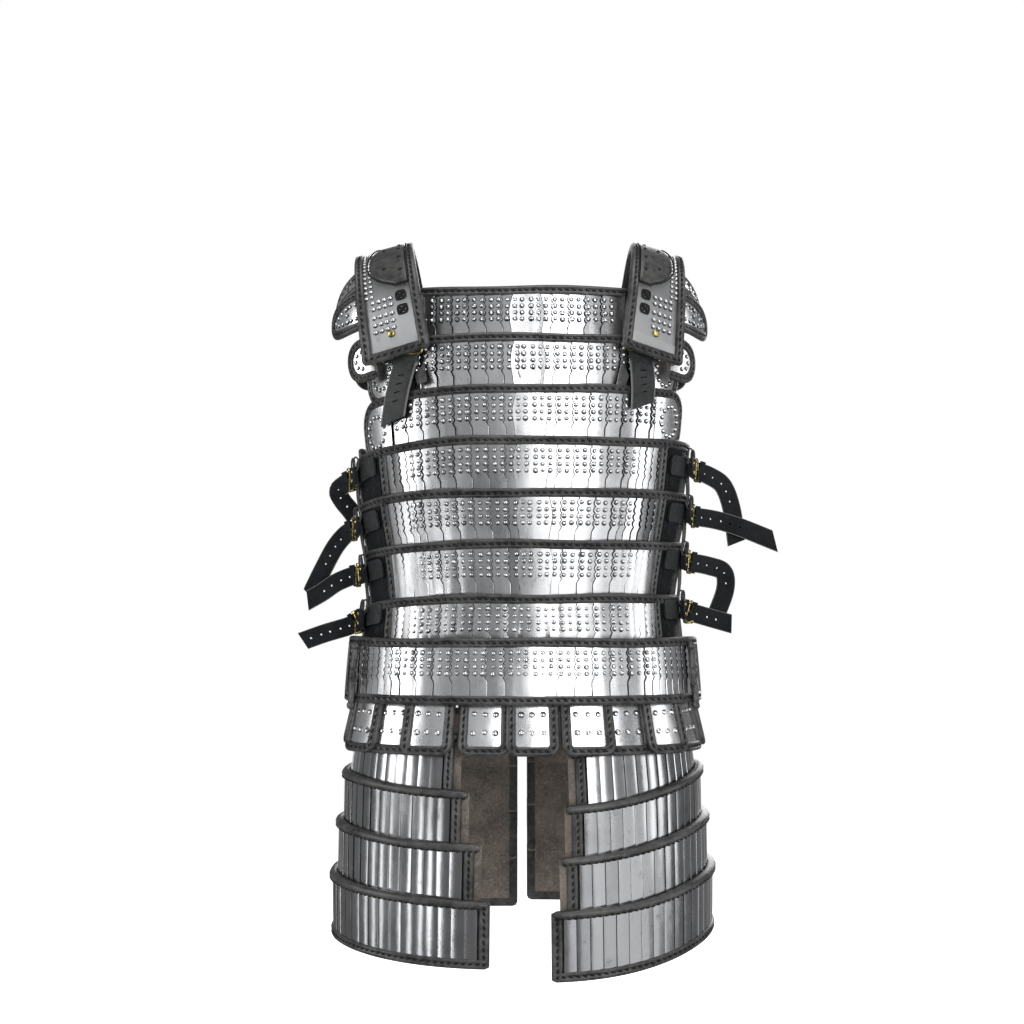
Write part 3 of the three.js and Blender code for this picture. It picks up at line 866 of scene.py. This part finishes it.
STEEL_REACH = 56  # degrees from the middle, past which rows 4 to 7 are plain leather
PLATE_EDGE = 3  # how far a plate or panel lies in from its row's edge
ROUND_CORNER, CORNER = 30, 5  # the radii of a round-ended row's corners, and of the others'
ROUND_STOP, PLAIN_STOP = 40, 4  # how far before its end a row's lames stop
PANEL_CROWD, WAIST_CROWD = 52, 128  # how far before that, or at the waist before the row's end, they crowd
END_PLATE = 54  # how far a round row's end plate reaches in
BAR_IN = 72  # how far in the waist row's end bars lie
TAB_EDGE = [(2.6, 0.4), (2.2, 2.6), (0.6, 3.4), (-0.6, 2.4), (-0.8, 0.4)]


def side_tab(side, half, near, level):
    """The smooth leather tab that holds a side buckle, sewn down over the row's end panel."""
    corners = block(side * (near + 3), level - 12, side * (half + 3), level + 12)[::side]
    return [raised(cut(corner_path(corners, [4] * 4, 8, closed=True), 3.0, (8, 12)), 5.6),
            edging(corner_path(corners, [4] * 4, 4, closed=True), TAB_EDGE, True)]


def end_bar(s, height):
    """The stiff roll at the waist row's end, with a knob at each end for the lacing and a loop of cord."""
    stem = tube([(s + 0.8 * math.sin(t / 9), t, 11.5) for t in np.linspace(11, height + 4, 24)], 4.2, 10)
    knobs = stamp(dome(5.6, 5.2, 12), [move(s - math.copysign(1.5, s), t, 12) for t in (10, height + 5)])
    loop = [(s - math.copysign(5 - 7 * math.sin(a), s), 47 + 10 * math.cos(a), 14 + math.sin(a))
            for a in round_about(20)]
    return [stem, knobs, tube(loop, 1.2, 6, True)]


def round_ends(steel, half, height):
    """Trims a row's lames to its round ends, and closes each end with one plate and its oval of bumps."""
    for mesh in steel[:2]:
        co = coordinates(mesh)
        past = np.clip(np.abs(co[:, 0]) - (half - ROUND_CORNER), 0, ROUND_CORNER - PLATE_EDGE)
        over = ROUND_CORNER - np.sqrt(np.maximum((ROUND_CORNER - 2) ** 2 - past**2, 0))
        co[:, 1] = np.clip(co[:, 1], over, height - over)
        co[:, 0] = np.clip(co[:, 0], -half + PLATE_EDGE, half - PLATE_EDGE)
        set_coordinates(mesh, co)
    for side in (-1, 1):
        near, far = side * (half - END_PLATE), side * (half - PLATE_EDGE)
        corners = block(near, PLATE_EDGE, far, height - PLATE_EDGE)[::side]
        outline = corner_path(corners, [3, 27, 27, 3][::side], 8, closed=True)
        plate = raised(cut(outline, 1.3, (12, 14), crown=0.5), 4.5)
        co = coordinates(plate)
        # painted shadow along the end plate's inner edge, where it lies over the lames
        tints[plate.name] = np.where((np.abs(co[:, 0] - near) < 2) & (co[:, 2] < 5.0), SEAM_SHADOW, 0.4)
        steel.append(plate)
    oval = [move(side * (half - 29 + 15 * math.cos(a)), height / 2 + 19 * math.sin(a), 6.1)
            for side in (-1, 1) for a in round_about(13)]
    steel.append(stamp(BOSS, oval))


def body_row(name, index, row, back):
    """A row of lames: leather behind, steel in front, and folded leather laced over its edges."""
    top, height = row["top"], row["height"]
    rounded, panelled, waist = "round" in row, index in PANELLED, index == WAIST
    angles, lengths = girth(top - height / 2, back)
    half = float(np.interp(row["reach"], angles, lengths))
    foot, head = row.get("proud", (0, ROW_STEP))
    seed = index + (10 if back else 0)

    def place(co):
        s, t, n = co.T
        angle = np.sign(s) * np.interp(np.abs(s), lengths, angles)
        out = foot + (head - foot) * (1 - t / height) + n
        past = np.maximum(0, (-angle - SAG_FROM) / (row["reach"] - SAG_FROM))
        sag = 0 if back else row.get("sag", 0) * past**1.5
        z = top - t - sag + wobble(s, t, seed)
        return body_point(180 - angle if back else angle, z, out)

    corners = block(-half, 0, half, height)
    radius = ROUND_CORNER if rounded else CORNER
    inner = inset_outline(corner_path(corners, [radius] * 4, 12, closed=True), 1.0)
    if rounded or waist:
        edge = corner_path(corners, [radius] * 4, 5, closed=True)
    else:
        around_top = [(-half, height), (-half, 0), (half, 0), (half, height)]
        edge = corner_path(around_top, [0, CORNER, CORNER, 0], 5)
    closed = rounded or waist

    plain, crowd = half - (ROUND_STOP if rounded else PLAIN_STOP), NEVER
    if panelled:
        plain = float(np.interp(STEEL_REACH, angles, lengths))
    if not back and panelled:
        crowd = plain - PANEL_CROWD
    elif not back and waist:
        crowd = half - WAIST_CROWD

    def in_field(s, t):
        if abs(s) > half - 12 or t > height - 9 or abs(s) >= plain - 2:
            return False
        past = abs(s) - (half - radius)
        if past <= 0 or not rounded:
            return True
        over = max(0, radius - t, t - (height - radius))
        return math.hypot(past, over) < radius - 13

    steel = lames(height, plain, 0 if back else row["middle"], in_field, crowd)
    if rounded:
        round_ends(steel, half, height)
    leather, lace, panels, tabs = [edging(edge, FOLD, closed)], [stitched(edge, closed)], [], []
    if panelled:
        near, far = plain + 1, half - PLATE_EDGE
        for side in (-1, 1):
            cover = straight([(side * (near - 5), 6), (side * (near - 5), height)][::side], 5)
            ties = [tie for t in (22, 36, 50) for tie in lace_cross(side * (near + 12), t, 7, 4.5)]
            leather.append(edging(cover, FOLD))
            lace += [stitched(cover), stamp(LACE, ties)]
            # the end panel takes the darker copy of the strap leather: painted shade for its recess
            panels.append(raised(cut(block(side * near, 3, side * far, height - 1), 2.2, (9, 30)), 2.3))
            if not back:
                start = SIDE_PATHS["left" if side < 0 else "right"][index - PANELLED[0]][0]
                sag = 0.9 * row["sag"] if side < 0 else 0
                tabs += side_tab(side, half, near, top - start - sag)
    if waist and not back:
        leather += [mesh for side in (-1, 1) for mesh in end_bar(side * (half - BAR_IN), height)]
    parts = {"suede": [raised(cut(inner, 1.7, (14, 26)), -0.6)], "steel": steel, "leather": leather,
             "lace": lace, "strapping": panels, "strap": tabs}
    lay(name, parts, [name], place, sheet="suede")


for i, row in enumerate(BODY_ROWS):
    body_row(f"front_row_{i + 1}", i, row, False)
    body_row(f"back_row_{i + 1}", i, row, True)


# ---------------------------------------------------------------- skirt
SKIRT_PITCH = 15.6
SKIRT_TILT = 0.085
SUEDE_EDGE = 10  # how much suede shows past a row's front edge


def skirt_row(name, half, i, seed):
    """A skirt row: plain crowned lames, a leather roll along the top, and suede past the front edge."""
    top = half["levels"][i]
    last = i == 3
    bottom = half["levels"][4] if last else half["levels"][i + 1] - SKIRT_LAP
    height, middle = top - bottom, (top + bottom) / 2
    angles, lengths = girth(middle)
    start = float(np.interp(angle_at_x(half["edges"][i], middle), angles, lengths))
    end = float(np.interp(180 - angle_at_x(BACK_SPLIT, middle), angles, lengths))
    long = end - start
    outer = SKIRT_IN if i == 0 else SKIRT_OUT

    def place(co):
        s, t, n = co.T
        angle = np.interp(s + start, lengths, angles)
        drop = half["drop"] * np.maximum(0, np.cos(angle * RAD)) ** 2
        out = SKIRT_IN + (outer - SKIRT_IN) * (1 - t / height) + n
        return body_point(half["side"] * angle, top - t - drop + wobble(s, t, seed, 0.6), out)

    lame = block(-SKIRT_PITCH / 2 - 3, 2, SKIRT_PITCH / 2 - 0.4, height - 1)
    template = free_edge(cut(lame, THICK * 1.3, cuts=(-7.5, -3, 2, 5.2, 6.7), every=STIFF, crown=0.8))
    moves, shades = [], []
    margin = 2 if last else SUEDE_EDGE
    s = margin + 12 + SKIRT_PITCH / 2
    while s < long - 12:
        moves.append(move(s + rng.uniform(-0.4, 0.4), 0, LAME_LOW, scale=(-1, 1, 1),
                          tilt=SKIRT_TILT * rng.uniform(0.6, 1.4)))
        shades.append(rng.uniform(-1, 1))
        s += SKIRT_PITCH
    upright = straight([(margin, height), (margin, 0)], 6)
    behind = straight([(long, 0), (long, height)], 6)
    rolled = straight([(2, 0), (long, 0)], 6)
    leather = [edging(upright), edging(behind), edging(rolled, ROLL)]
    lace = [stitched(upright), stitched(behind),
            stitched(rolled, inset=7.9, pitch=7.2, level=7.9, slant=10, template=THREAD)]
    if last:
        hem = straight([(long, height), (margin - 1, height)], 6)
        leather.append(edging(hem))
        lace.append(stitched(hem))
    suede = raised(cut(block(0, 1, long, height - 0.5), 1.8, (14, 40)), -0.6)
    parts = {"suede": [suede], "satin": [stamp(template, moves, shades)], "leather": leather, "lace": lace}
    lay(name, parts, [name], place, sheet="suede")


for label, half in SKIRT.items():
    for i, letter in enumerate("abcd"):
        skirt_row(f"skirt_{label}_{letter}", half, i, i + (3 if label == "left" else 8))


# ---------------------------------------------------------------- tassets
TASSET_CORNER = 13  # the radius of a tasset's lower corners


def tasset_parts():
    """One tasset laid flat about s = 0: a bossed plate in a laced leather frame, its lower corners round."""
    wide, tall = TASSET["width"] / 2, TASSET["top"] - TASSET["bottom"]
    lower = [0, TASSET_CORNER, TASSET_CORNER, 0]
    edge = corner_path([(wide, 0), (wide, tall), (-wide, tall), (-wide, 0)], lower, 4)
    outline = corner_path(block(-wide + 1, 0, wide - 1, tall - 1), [0, 0, TASSET_CORNER, TASSET_CORNER], 12,
                          closed=True)
    plate = corner_path(block(-wide + 4, 1, wide - 4, tall - 4), [0, 0, 10, 10], 12, closed=True)
    dots = [move(s + rng.uniform(-0.6, 0.6), t + rng.uniform(-0.6, 0.6), 4.3)
            for t in (24, 46) for s in (-12.5, 0, 12.5)]
    steel = cut(plate, 1.2, (8, 9), crown=1.4)
    raised(steel, 2.4, rng.uniform(-1, 1))
    co = coordinates(steel)
    lean = rng.uniform(-0.03, 0.03, 2)
    dents = rng.uniform(-0.22, 0.22, len(co))
    co[:, 2] += lean[0] * co[:, 0] + lean[1] * (co[:, 1] - tall / 2) + dents
    set_coordinates(steel, co)
    return {"suede": [cut(outline, 2.2, (14, 24))], "steel": [steel, stamp(BIG_BOSS, dots)],
            "leather": [edging(edge, FOLD)], "lace": [stitched(edge)]}


def tasset_place(centre, under, back):
    """Bends a tasset round the waist at its centre, and splays it outwards towards its foot."""
    angles, lengths = girth(TASSET["top"], back)
    tall = TASSET["top"] - TASSET["bottom"]

    def place(co):
        s, t, n = co.T
        angle = np.sign(s + centre) * np.interp(np.abs(s + centre), lengths, angles)
        above = np.clip(1 - t / tall, -0.1, 1)
        out = TASSET["inset"] - under + (TASSET["splay"] - TASSET["inset"]) * (1 - above) ** 1.3 + n
        return body_point(180 - angle if back else angle, TASSET["top"] - t, out)

    return place


for i, ((centre, under), behind) in enumerate(zip(TASSETS_FRONT, TASSETS_BACK)):
    name = f"tasset_front_{i + 1}"
    lay(name, tasset_parts(), [name], tasset_place(centre, under, False), sheet="suede")
    name = f"tasset_back_{i + 1}"
    lay(name, tasset_parts(), ["tassets_back"], tasset_place(behind, 0, True), sheet="suede")


# ---------------------------------------------------------------- shoulder straps
def slab(nu, nv, place, holes=()):
    """A closed wall of nu by nv cells through place(u, v, w); holes are cells that are punched out."""
    bm = bmesh.new()
    bmesh.ops.create_grid(bm, x_segments=nu, y_segments=nv, size=0.5)
    bmesh.ops.translate(bm, vec=(0.5, 0.5, 0), verts=bm.verts)
    middles = [(face, face.calc_center_median()) for face in bm.faces]
    gone = [face for face, middle in middles if (int(middle.x * nu), int(middle.y * nv)) in holes]
    if gone:
        bmesh.ops.delete(bm, geom=gone, context="FACES")
    bmesh.ops.translate(bm, vec=(0, 0, 1), verts=thickened(bm))
    mesh = to_mesh(bm)
    set_coordinates(mesh, np.stack(np.broadcast_arrays(*place(*coordinates(mesh).T)), -1))
    return mesh


STRAP_WIDE = 78
FRONT_STEEL, BACK_STEEL = 0.2, 0.1  # how far behind the crown its plates end, as shares of its front half
RAISED = dict(left=2.0, right=3.5)  # how high each strap's front end plate stands
PATCH = dict(reach=58, edge=0.14, width=0.6, lobe=0.7, least=0.3, waist=0.62, low=5.0, high=8.2)
PATCH_CELLS = 60
BOSS_LEVEL = 3.4
SMALL_BOSS, BIG_RIVET = (0.85, 0.85, 0.85), (1.75, 1.75, 1.5)


def shoulder_strap(label, half):
    """A strap over the shoulder, plated and bossed at both ends, with its patch over the crown."""
    degrees = np.linspace(-90, 90, 361)
    run = run_along(strap_at(half, degrees, 0.5))
    run -= np.interp(0, degrees, run)
    front, back = run[0], run[-1]

    def place(co):
        s, t, n = co.T
        angle = np.interp(s, run, degrees)
        over = np.where(s < front, s - front, np.where(s > back, s - back, 0))
        across = t / STRAP_WIDE
        along, _, up = strap_frame(half, angle, np.clip(across, 0, 1))
        return strap_at(half, angle, across) + up * n[:, None] + along * over[:, None]

    corners = block(front, 0, back, STRAP_WIDE)
    edge = corner_path(corners, [4] * 4, 5, closed=True)
    leather = cut(inset_outline(corner_path(corners, [4] * 4, 10, closed=True), 0.8), 2.2, (9, 20))
    end_plate = [(front + 6, 6.5), (front + 24, 6.5), (front + 20, 71.5), (front + 6, 71.5)]
    plates = [(block(front + 6, 6, -front * FRONT_STEEL, 72), 1.2, 2.2, 0.2),
              (block(-front * BACK_STEEL, 6.5, back - 6, 71.5), 1.2, 2.0, -0.3),
              (end_plate, 1.3, RAISED[label], 1.4)]
    steel = [raised(cut(outline, thick, (8, 16)), level, shade) for outline, thick, level, shade in plates]
    dots, crosses = [], []
    for end, sign in ((front, 1), (back, -1)):
        for s in (35, 44, 53.5, 65, 73.5):
            dots += [move(end + sign * s, t, BOSS_LEVEL) for t in (36.5, 44, 51.5, 59)]
        for s in np.arange(82, abs(end) - 4, 7.9):
            dots += [move(end + sign * s, t, BOSS_LEVEL, scale=SMALL_BOSS) for t in (59.5, 66)]
        for s in (54.5, 73.5):
            crosses += lace_cross(end + sign * s, 23, 11, BOSS_LEVEL)
    name = f"shoulder_strap_{label}"
    parts = {"suede": [leather], "brushed": steel, "steel": [stamp(BOSS, dots)],
             "leather": [edging(edge, FOLD, True)], "lace": [stitched(edge, True), stamp(LACE, crosses)]}
    lay(name, parts, [name], place, sheet="suede")
    rivets = [move(front + 28, 41, 4.2, scale=BIG_RIVET), move(back - 28, 41, 3.0, scale=BIG_RIVET)]
    finished(f"{name}_rivets", [stamp(RIVET, rivets)], "brass", [name], place)
    shoulder_patch(label, place, run, degrees)


def shoulder_patch(label, place, run, degrees):
    """The patch over the crown: two round lobes with a waist between, sewn round and riveted."""
    low, high = (float(np.interp(a, degrees, run)) for a in (-PATCH["reach"], PATCH["reach"]))

    def patch_point(u, v, w):
        over = np.abs(2 * u - 1)
        past = np.maximum(0, over - PATCH["lobe"]) / (1 - PATCH["lobe"])
        neck = np.sin(np.minimum(1, over / PATCH["lobe"]) * math.pi / 2) ** 2
        lobe = np.maximum(PATCH["least"], np.sqrt(1 - past * past))
        wide = (PATCH["waist"] + (1 - PATCH["waist"]) * neck) * lobe
        rim = np.minimum(np.minimum(v, 1 - v) / 0.08, np.minimum(u, 1 - u) / 0.03)
        dip = 0.9 * np.clip(1 - rim, 0, 1) ** 2
        angle = (2 * u - 1) * PATCH["reach"]
        return (np.interp(angle, degrees, run), STRAP_WIDE * (PATCH["edge"] + PATCH["width"] * v * wide),
                np.where(w > 0.5, PATCH["high"] - dip, PATCH["low"] + 0 * dip))

    name = f"shoulder_patch_{label}"
    patch = slab(PATCH_CELLS, 14, patch_point)
    rounds = ([(k, 1.0) for k in np.linspace(1, 0, PATCH_CELLS)] + [(0.0, k) for k in (0.75, 0.5, 0.25)]
              + [(k, 0.0) for k in np.linspace(0, 1, PATCH_CELLS)] + [(1.0, k) for k in (0.25, 0.5, 0.75)])
    rim = np.array([[float(c) for c in patch_point(u, v, 0.0)[:2]] for u, v in rounds])[::-1]
    thread = stamp(THREAD, sewn(rim, 4.6, 7.7, True, 3.0))
    heads = [(s * share, 17.5) for s in (low, high) for share in (0.86, 0.68, 0.5, 0.32)]
    heads += [(s * share, 38) for s in (low, high) for share in (0.8, 0.45)]
    rivets = stamp(RIVET, [move(s, t, 7.9) for s, t in heads])
    lay(name, {"leather": [patch], "lace": [thread, rivets]}, [name], place, sheet="leather")


def wing(label, half, name, at, flatter, under, wide, reach, droop):
    """A short round-ended lame that shields the arm beside the strap."""
    along, outward, up = (v[0] for v in strap_frame(half, at, 1))
    lean = flatter * RAD
    along, up = along * math.cos(lean) - up * math.sin(lean), up * math.cos(lean) + along * math.sin(lean)
    base = strap_at(half, at, 1)[0]

    def place(co):
        s, t, n = co.T
        beyond = np.maximum(0, t)
        turn = (droop + beyond / WING["bend"] * WING["curl"]) * RAD
        out = np.where(t > 0, t * np.cos(turn), t)
        lift = n - under - WING["thick"] - beyond * np.sin(turn)
        return base + s[:, None] * along + out[:, None] * outward + lift[:, None] * up

    def outline(inset, tuck, step):
        tip = reach * np.sin(np.linspace(0.53, 1.571, 13))
        ts = np.concatenate([np.arange(-tuck, reach * 0.5, step), tip])
        halves = wide * np.sqrt(np.maximum(0.0, 1 - np.clip(ts / reach, 0, 1) ** WING["power"]))
        right = np.stack([halves, ts], -1)
        left = np.stack([-halves, ts], -1)[::-1]
        path = np.vstack([right, left[1:] if halves[-1] < 1 else left])
        return path + inward_of(path, False) * inset

    leather = cut(outline(0.8, WING["tuck"], 10), 2, (12, 14))
    steel = raised(cut(outline(4, WING["tuck"] - 2, 10), 1.2, (10, 14), crown=1.2), 2.0, rng.uniform(-1, 1))
    ring, _ = spaced(outline(0, -4, 4), 8.6, False, 15)
    dots = [move(s, t, 4.0, scale=(0.95, 0.95, 0.95)) for s, t in ring if t > 2]
    if reach > 60:
        dots += [move(s, reach * 0.35, 4.3) for s in (-9, 0, 9)]
    node = f"wing_{label}_{name}"
    edge = outline(0, WING["tuck"], 5)
    parts = {"suede": [leather], "steel": [steel, stamp(BOSS, dots)],
             "leather": [edging(edge, FOLD, scale=0.9)],
             "lace": [stitched(edge, inset=4.0, level=5.2, pitch=6.4)]}
    lay(node, parts, [node], place, sheet="suede")


CUT_SHADE = 3.0  # the pale raw edge of a strap


def strip_with_holes(length, width, thick, holes, tip, cell, rows, nv):
    """A strap laid flat from s = 0 to its slanted tip, s along it and t across.

    It is nv cells wide, each about cell long, and its holes are punched out of the cells in rows.
    """
    nu = max(4, round(length / cell))
    punched = {(round(s / length * nu), row) for s in holes for row in rows}

    def point(u, v, w):
        reach = length + tip * (v - 0.5)
        near = np.clip((np.minimum(v, 1 - v)) / 0.125, 0, 1)
        return u * reach, (v - 0.5) * width, np.where(w > 0.5, thick - 0.5 * (1 - near), 0.5 * (1 - near))

    strap = slab(nu, nv, point, punched)
    tints[strap.name] = np.where(np.abs(coordinates(strap)[:, 1]) > width * 0.49, CUT_SHADE, 0.0)
    return strap


def buckle_frame(s0, s1, half_width, level, thick, corner, step):
    """A buckle's frame: a round bar bent to a block with round corners."""
    ring = corner_path(block(s0, -half_width, s1, half_width), [corner] * 4, step, closed=True)
    return tube(np.column_stack([ring, np.full(len(ring), level)]), thick, 8, True)


def shoulder_tail(label, half):
    """The buckled end of the strap's leather, hanging down the chest, and the tab it is sewn to."""
    side, (x0, z0), (x1, z1) = half["side"], half["start"], half["end"]
    long, edge = z0 - z1, TAIL["width"] / 2

    def place(co):
        s, t, n = co.T
        down = s / long
        x = x0 + (x1 - x0) * down + t
        z = z0 - s + side * t / TAIL["width"] * TAIL["slant"] * down
        wide = section_at(z)[:, 0]
        angle = np.degrees(np.arcsin(np.clip((np.abs(x) / wide) ** (1 / ROUNDNESS), 0, 1)))
        lean = 3.0 * np.sin(np.clip(down, 0, 1) * math.pi)
        return body_point(side * angle, z, TAIL["clear"] + n + lean)

    name = f"shoulder_tail_{label}"
    holes = [16, 27, 38, 49] if long > 65 else [14, 23, 32, 41]
    strap = strip_with_holes(long, TAIL["width"], 3, holes, 0, 1.5, (3, 4), 8)
    ring = buckle_frame(-24, -10, edge + 2, 1.6, 1.7, 3, 4)
    pin = tube([(-24, 0, 2), (-18, 0, 4.2), (-12, 0, 4.6), (-9, 0, 3.2)], 1.2, 6)
    turned_over = cut(block(-24, -edge, 3, edge), 2.6, (6, 8))
    lining = raised(cut(block(8, -7, long - 8, 7), 0.6, (6, 12)), -0.8, -1.0)
    finished(f"{name}_leather", [strap, turned_over, lining], "strap", [name], place)
    finished(f"{name}_buckle", [ring, pin], "brass", [name], place)
    tab = cut([(2, -20), (32, -30), (34, -20), (20, -14)], 2.6, (6, 6))
    finished(f"{name}_tab", [raised(tab, -5.5)], "leather", [name], place)


for label, half in STRAP_SIDES.items():
    shoulder_strap(label, half)
    for parts in WINGS:
        wing(label, half, *parts)
for label, half in SHOULDER_TAILS.items():
    shoulder_tail(label, half)


# ---------------------------------------------------------------- side straps
# how much longer one edge of a strap's slanted tip is than the other, where it isn't the usual cut
TIPS = {("right", 5): -17, ("right", 6): 10, ("left", 5): 10, ("left", 6): 10}
TIP = -6
FIRST_HOLE, HOLE_PITCH = 22, 13
# the leather turned back over a buckle's bar, and the keeper past it, which only a long loose end has
TURN_BACK = dict(past=4, wider=1.5, thick=2.4)
KEEPER = dict(start=13, long=7, wider=4, thick=1.8, least=45)


def side_strap(label, side, index, start, buckle, tail):
    """One side strap: from the row's end through its buckle, and its loose end hanging clear."""
    name = f"side_strap_{label}_{index}"
    middle = np.array(buckle, float)
    past = middle + (side * BUCKLE["turn"], BUCKLE["along"] / 2 + 1, 0)
    row_end = [body_point(side * angle, start, SIDE_STRAP["clear"])[0] for angle in SIDE_START]
    path = smooth_path(row_end + [middle, past] + [np.array(p, float) for p in tail], 3)
    run = run_along(path)
    long = run[-1]
    along = unit(np.gradient(path, axis=0))
    share = np.clip(run / long * 2.2, 0, 1)[:, None]
    facing = np.array((side, -0.6, 0)) * (1 - share) + np.array((0.1 * side, -1, 0)) * share
    across = unit(np.cross(facing, along))
    out = np.cross(along, across)

    def place(co):
        s, t, n = co.T
        inside = np.clip(s, 0, long)

        def at(values):
            return np.stack([np.interp(inside, run, values[:, k]) for k in range(3)], -1)

        return at(path) + at(along) * (s - inside)[:, None] + at(across) * t[:, None] + at(out) * n[:, None]

    at_buckle = run[np.argmin(np.linalg.norm(path - middle, axis=1))]
    thick, width = SIDE_STRAP["thick"], SIDE_STRAP["width"]
    holes = [at_buckle + FIRST_HOLE + HOLE_PITCH * k for k in range(5)]
    holes = [s for s in holes if s < long - 12]
    tip = TIPS.get((label, index), TIP)
    strap = raised(strip_with_holes(long, width, thick, holes, tip, 2.0, (5,), 11), -thick / 2)

    def fold_point(u, v, w):
        rounding = 1 - 0.35 * np.abs(2 * v - 1) ** 6
        return (u * (at_buckle + TURN_BACK["past"]) - 1, (v - 0.5) * (width + TURN_BACK["wider"]),
                thick / 2 + 0.2 + TURN_BACK["thick"] * w * rounding)

    def keeper_point(u, v, w):
        return (at_buckle + KEEPER["start"] + u * KEEPER["long"], (v - 0.5) * (width + KEEPER["wider"]),
                thick / 2 + 0.3 + KEEPER["thick"] * w)

    leather = [strap, slab(8, 4, fold_point)]
    if long - at_buckle > KEEPER["least"]:
        leather.append(slab(3, 10, keeper_point))
    # the side strap takes the darker copy of the strap leather: painted shade, as it turns away from the
    # light
    finished(f"{name}_leather", leather, "strapping", [name], place)
    edge = width / 2 - 2.6
    lines = [straight([(2, t * edge), (at_buckle - 2, t * edge)], 4) for t in (-1, 1)]
    threads = [made for line in lines for made in sewn(line, 4.0, thick / 2 + 2.2)]
    finished(f"{name}_thread", [stamp(THREAD, threads)], "lace", [name], place)

    wide, tall = BUCKLE["across"] / 2 - 1.8, BUCKLE["along"] / 2 - 1.8
    ring = buckle_frame(at_buckle - tall, at_buckle + tall, wide, 2.9, 1.7, 3.5, 3)
    prong = tube([(at_buckle - tall, 0, 4.4), (at_buckle, 0, 5.6), (at_buckle + tall, 0, 5.8),
                  (at_buckle + tall + 2, 0, 5.2)], 1.0, 6)
    rivets = stamp(RIVET, [move(at_buckle * 0.35, t, thick / 2 + 2.5) for t in (-6, 6)])
    finished(f"{name}_buckle", [ring, prong, rivets], "brass", [name], place)


def hanger(label, side):
    """The pair of thongs that hangs rows 5 to 7 from row 4, with two loops at each row."""
    angle, clear = HANGER["angle"], HANGER["clear"]
    thongs = []
    for offset in (-HANGER["spread"] / 2, HANGER["spread"] / 2):
        zs = np.linspace(HANGER["top"], HANGER["bottom"], 64)
        wave = 0.8 * np.sin(zs / 9 + offset * 3)
        thongs.append(tube(body_point(side * (angle + offset), zs, clear + 1.6 + wave), 1.9, 7))
    turn = round_about(20)
    for start, _, _ in SIDE_PATHS[label]:
        z = start + 15
        for offset in (-4, 3):
            degrees = angle - 3 + offset + 2.6 * np.cos(turn)
            loop = body_point(side * degrees, z + 9 * np.sin(turn), clear + 7.5 + 1.5 * np.cos(turn))
            thongs.append(tube(loop, 1.15, 6, True))
    name = f"side_hanger_{label}"
    finished(f"{name}_thongs", thongs, "leather", [name])


for label, side in (("left", -1), ("right", 1)):
    for i, path in enumerate(SIDE_PATHS[label]):
        side_strap(label, side, i + 4, *path)
    hanger(label, side)


# ---------------------------------------------------------------- light and floor
AIM = Vector((0, 0, -0.45))
FLOOR = -1.45
SOFTBOXES = [  # name, place, width and height, power
    ("front_softbox", (1.08, -3.2, 0.35), (1.76, 2.2), 80),
    ("left_softbox", (-2.9, -0.9, 0.2), (1.3, 1.7), 48),
    ("right_softbox", (2.9, -0.6, 0.0), (1.0, 2.4), 26),
    ("right_fill", (2.2, -2.3, -1.3), (3.0, 1.0), 12),
    ("right_glow", (2.2, -2.3, -0.2), (2.4, 1.0), 2.5),
    ("left_fill", (-1.3, -2.9, 0.45), (1.6, 1.4), 2.5),
    ("left_streak", (-2.2, -2.3, -1.25), (0.5, 0.5), 6),
    ("low_left_glint", (-2.9, -0.3, -1.2), (0.4, 0.6), 3),
    ("top_softbox", (0.2, -0.6, 2.6), (2.6, 1.6), 60),
    ("back_softbox", (0.8, 3.2, 0.6), (2.4, 2.4), 80),
]


def softbox(name, at, size, power):
    """A rectangular lamp that faces the armour."""
    lamp = bpy.data.lights.new(name, "AREA")
    lamp.shape = "RECTANGLE"
    lamp.size, lamp.size_y = size
    lamp.energy = power
    holder = bpy.data.objects.new(name, lamp)
    holder.location = at
    holder.rotation_euler = (AIM - Vector(at)).to_track_quat("-Z", "Y").to_euler()
    scene.collection.objects.link(holder)


for box in SOFTBOXES:
    softbox(*box)

world = bpy.data.worlds.new("studio")
scene.world = world
world.use_nodes = True
tree = world.node_tree
rays = tree.nodes.new("ShaderNodeLightPath")


LIT, IN_GLOSS, BACKDROP = 0.34, 0.24, 1.0  # the room's white as it lights, as gloss shows it, and behind


def room(level):
    """An even white surround of the given strength."""
    made = tree.nodes.new("ShaderNodeBackground")
    made.inputs["Color"].default_value = (1, 1, 1, 1)
    made.inputs["Strength"].default_value = level
    return made.outputs[0]


def either(ray, otherwise, seen):
    """One surround for a kind of ray, and otherwise another."""
    made = tree.nodes.new("ShaderNodeMixShader")
    tree.links.new(rays.outputs[ray], made.inputs[0])
    tree.links.new(otherwise, made.inputs[1])
    tree.links.new(seen, made.inputs[2])
    return made.outputs[0]


unseen = either("Is Glossy Ray", room(LIT), room(IN_GLOSS))
around = either("Is Camera Ray", unseen, room(BACKDROP))
tree.links.new(around, tree.nodes["World Output"].inputs["Surface"])

floor_bm = bmesh.new()
bmesh.ops.create_grid(floor_bm, x_segments=1, y_segments=1, size=6)
bmesh.ops.translate(floor_bm, vec=(0, 0, FLOOR), verts=floor_bm.verts)
floor_mesh = to_mesh(floor_bm)
floor = bpy.data.objects.new("floor", floor_mesh)
scene.collection.objects.link(floor)
paper = Nodes("studio_floor")
floor_mesh.materials.append(paper.set(Base_Color=(0.8, 0.8, 0.8, 1), Roughness=0.9,
                                      Emission_Color=(1, 1, 1, 1), Emission_Strength=0.9))
floor.visible_glossy = False

scene.view_settings.view_transform = "Standard"
scene.view_settings.look = "None"

for mesh in [m for m in bpy.data.meshes if m.users == 0]:
    bpy.data.meshes.remove(mesh)
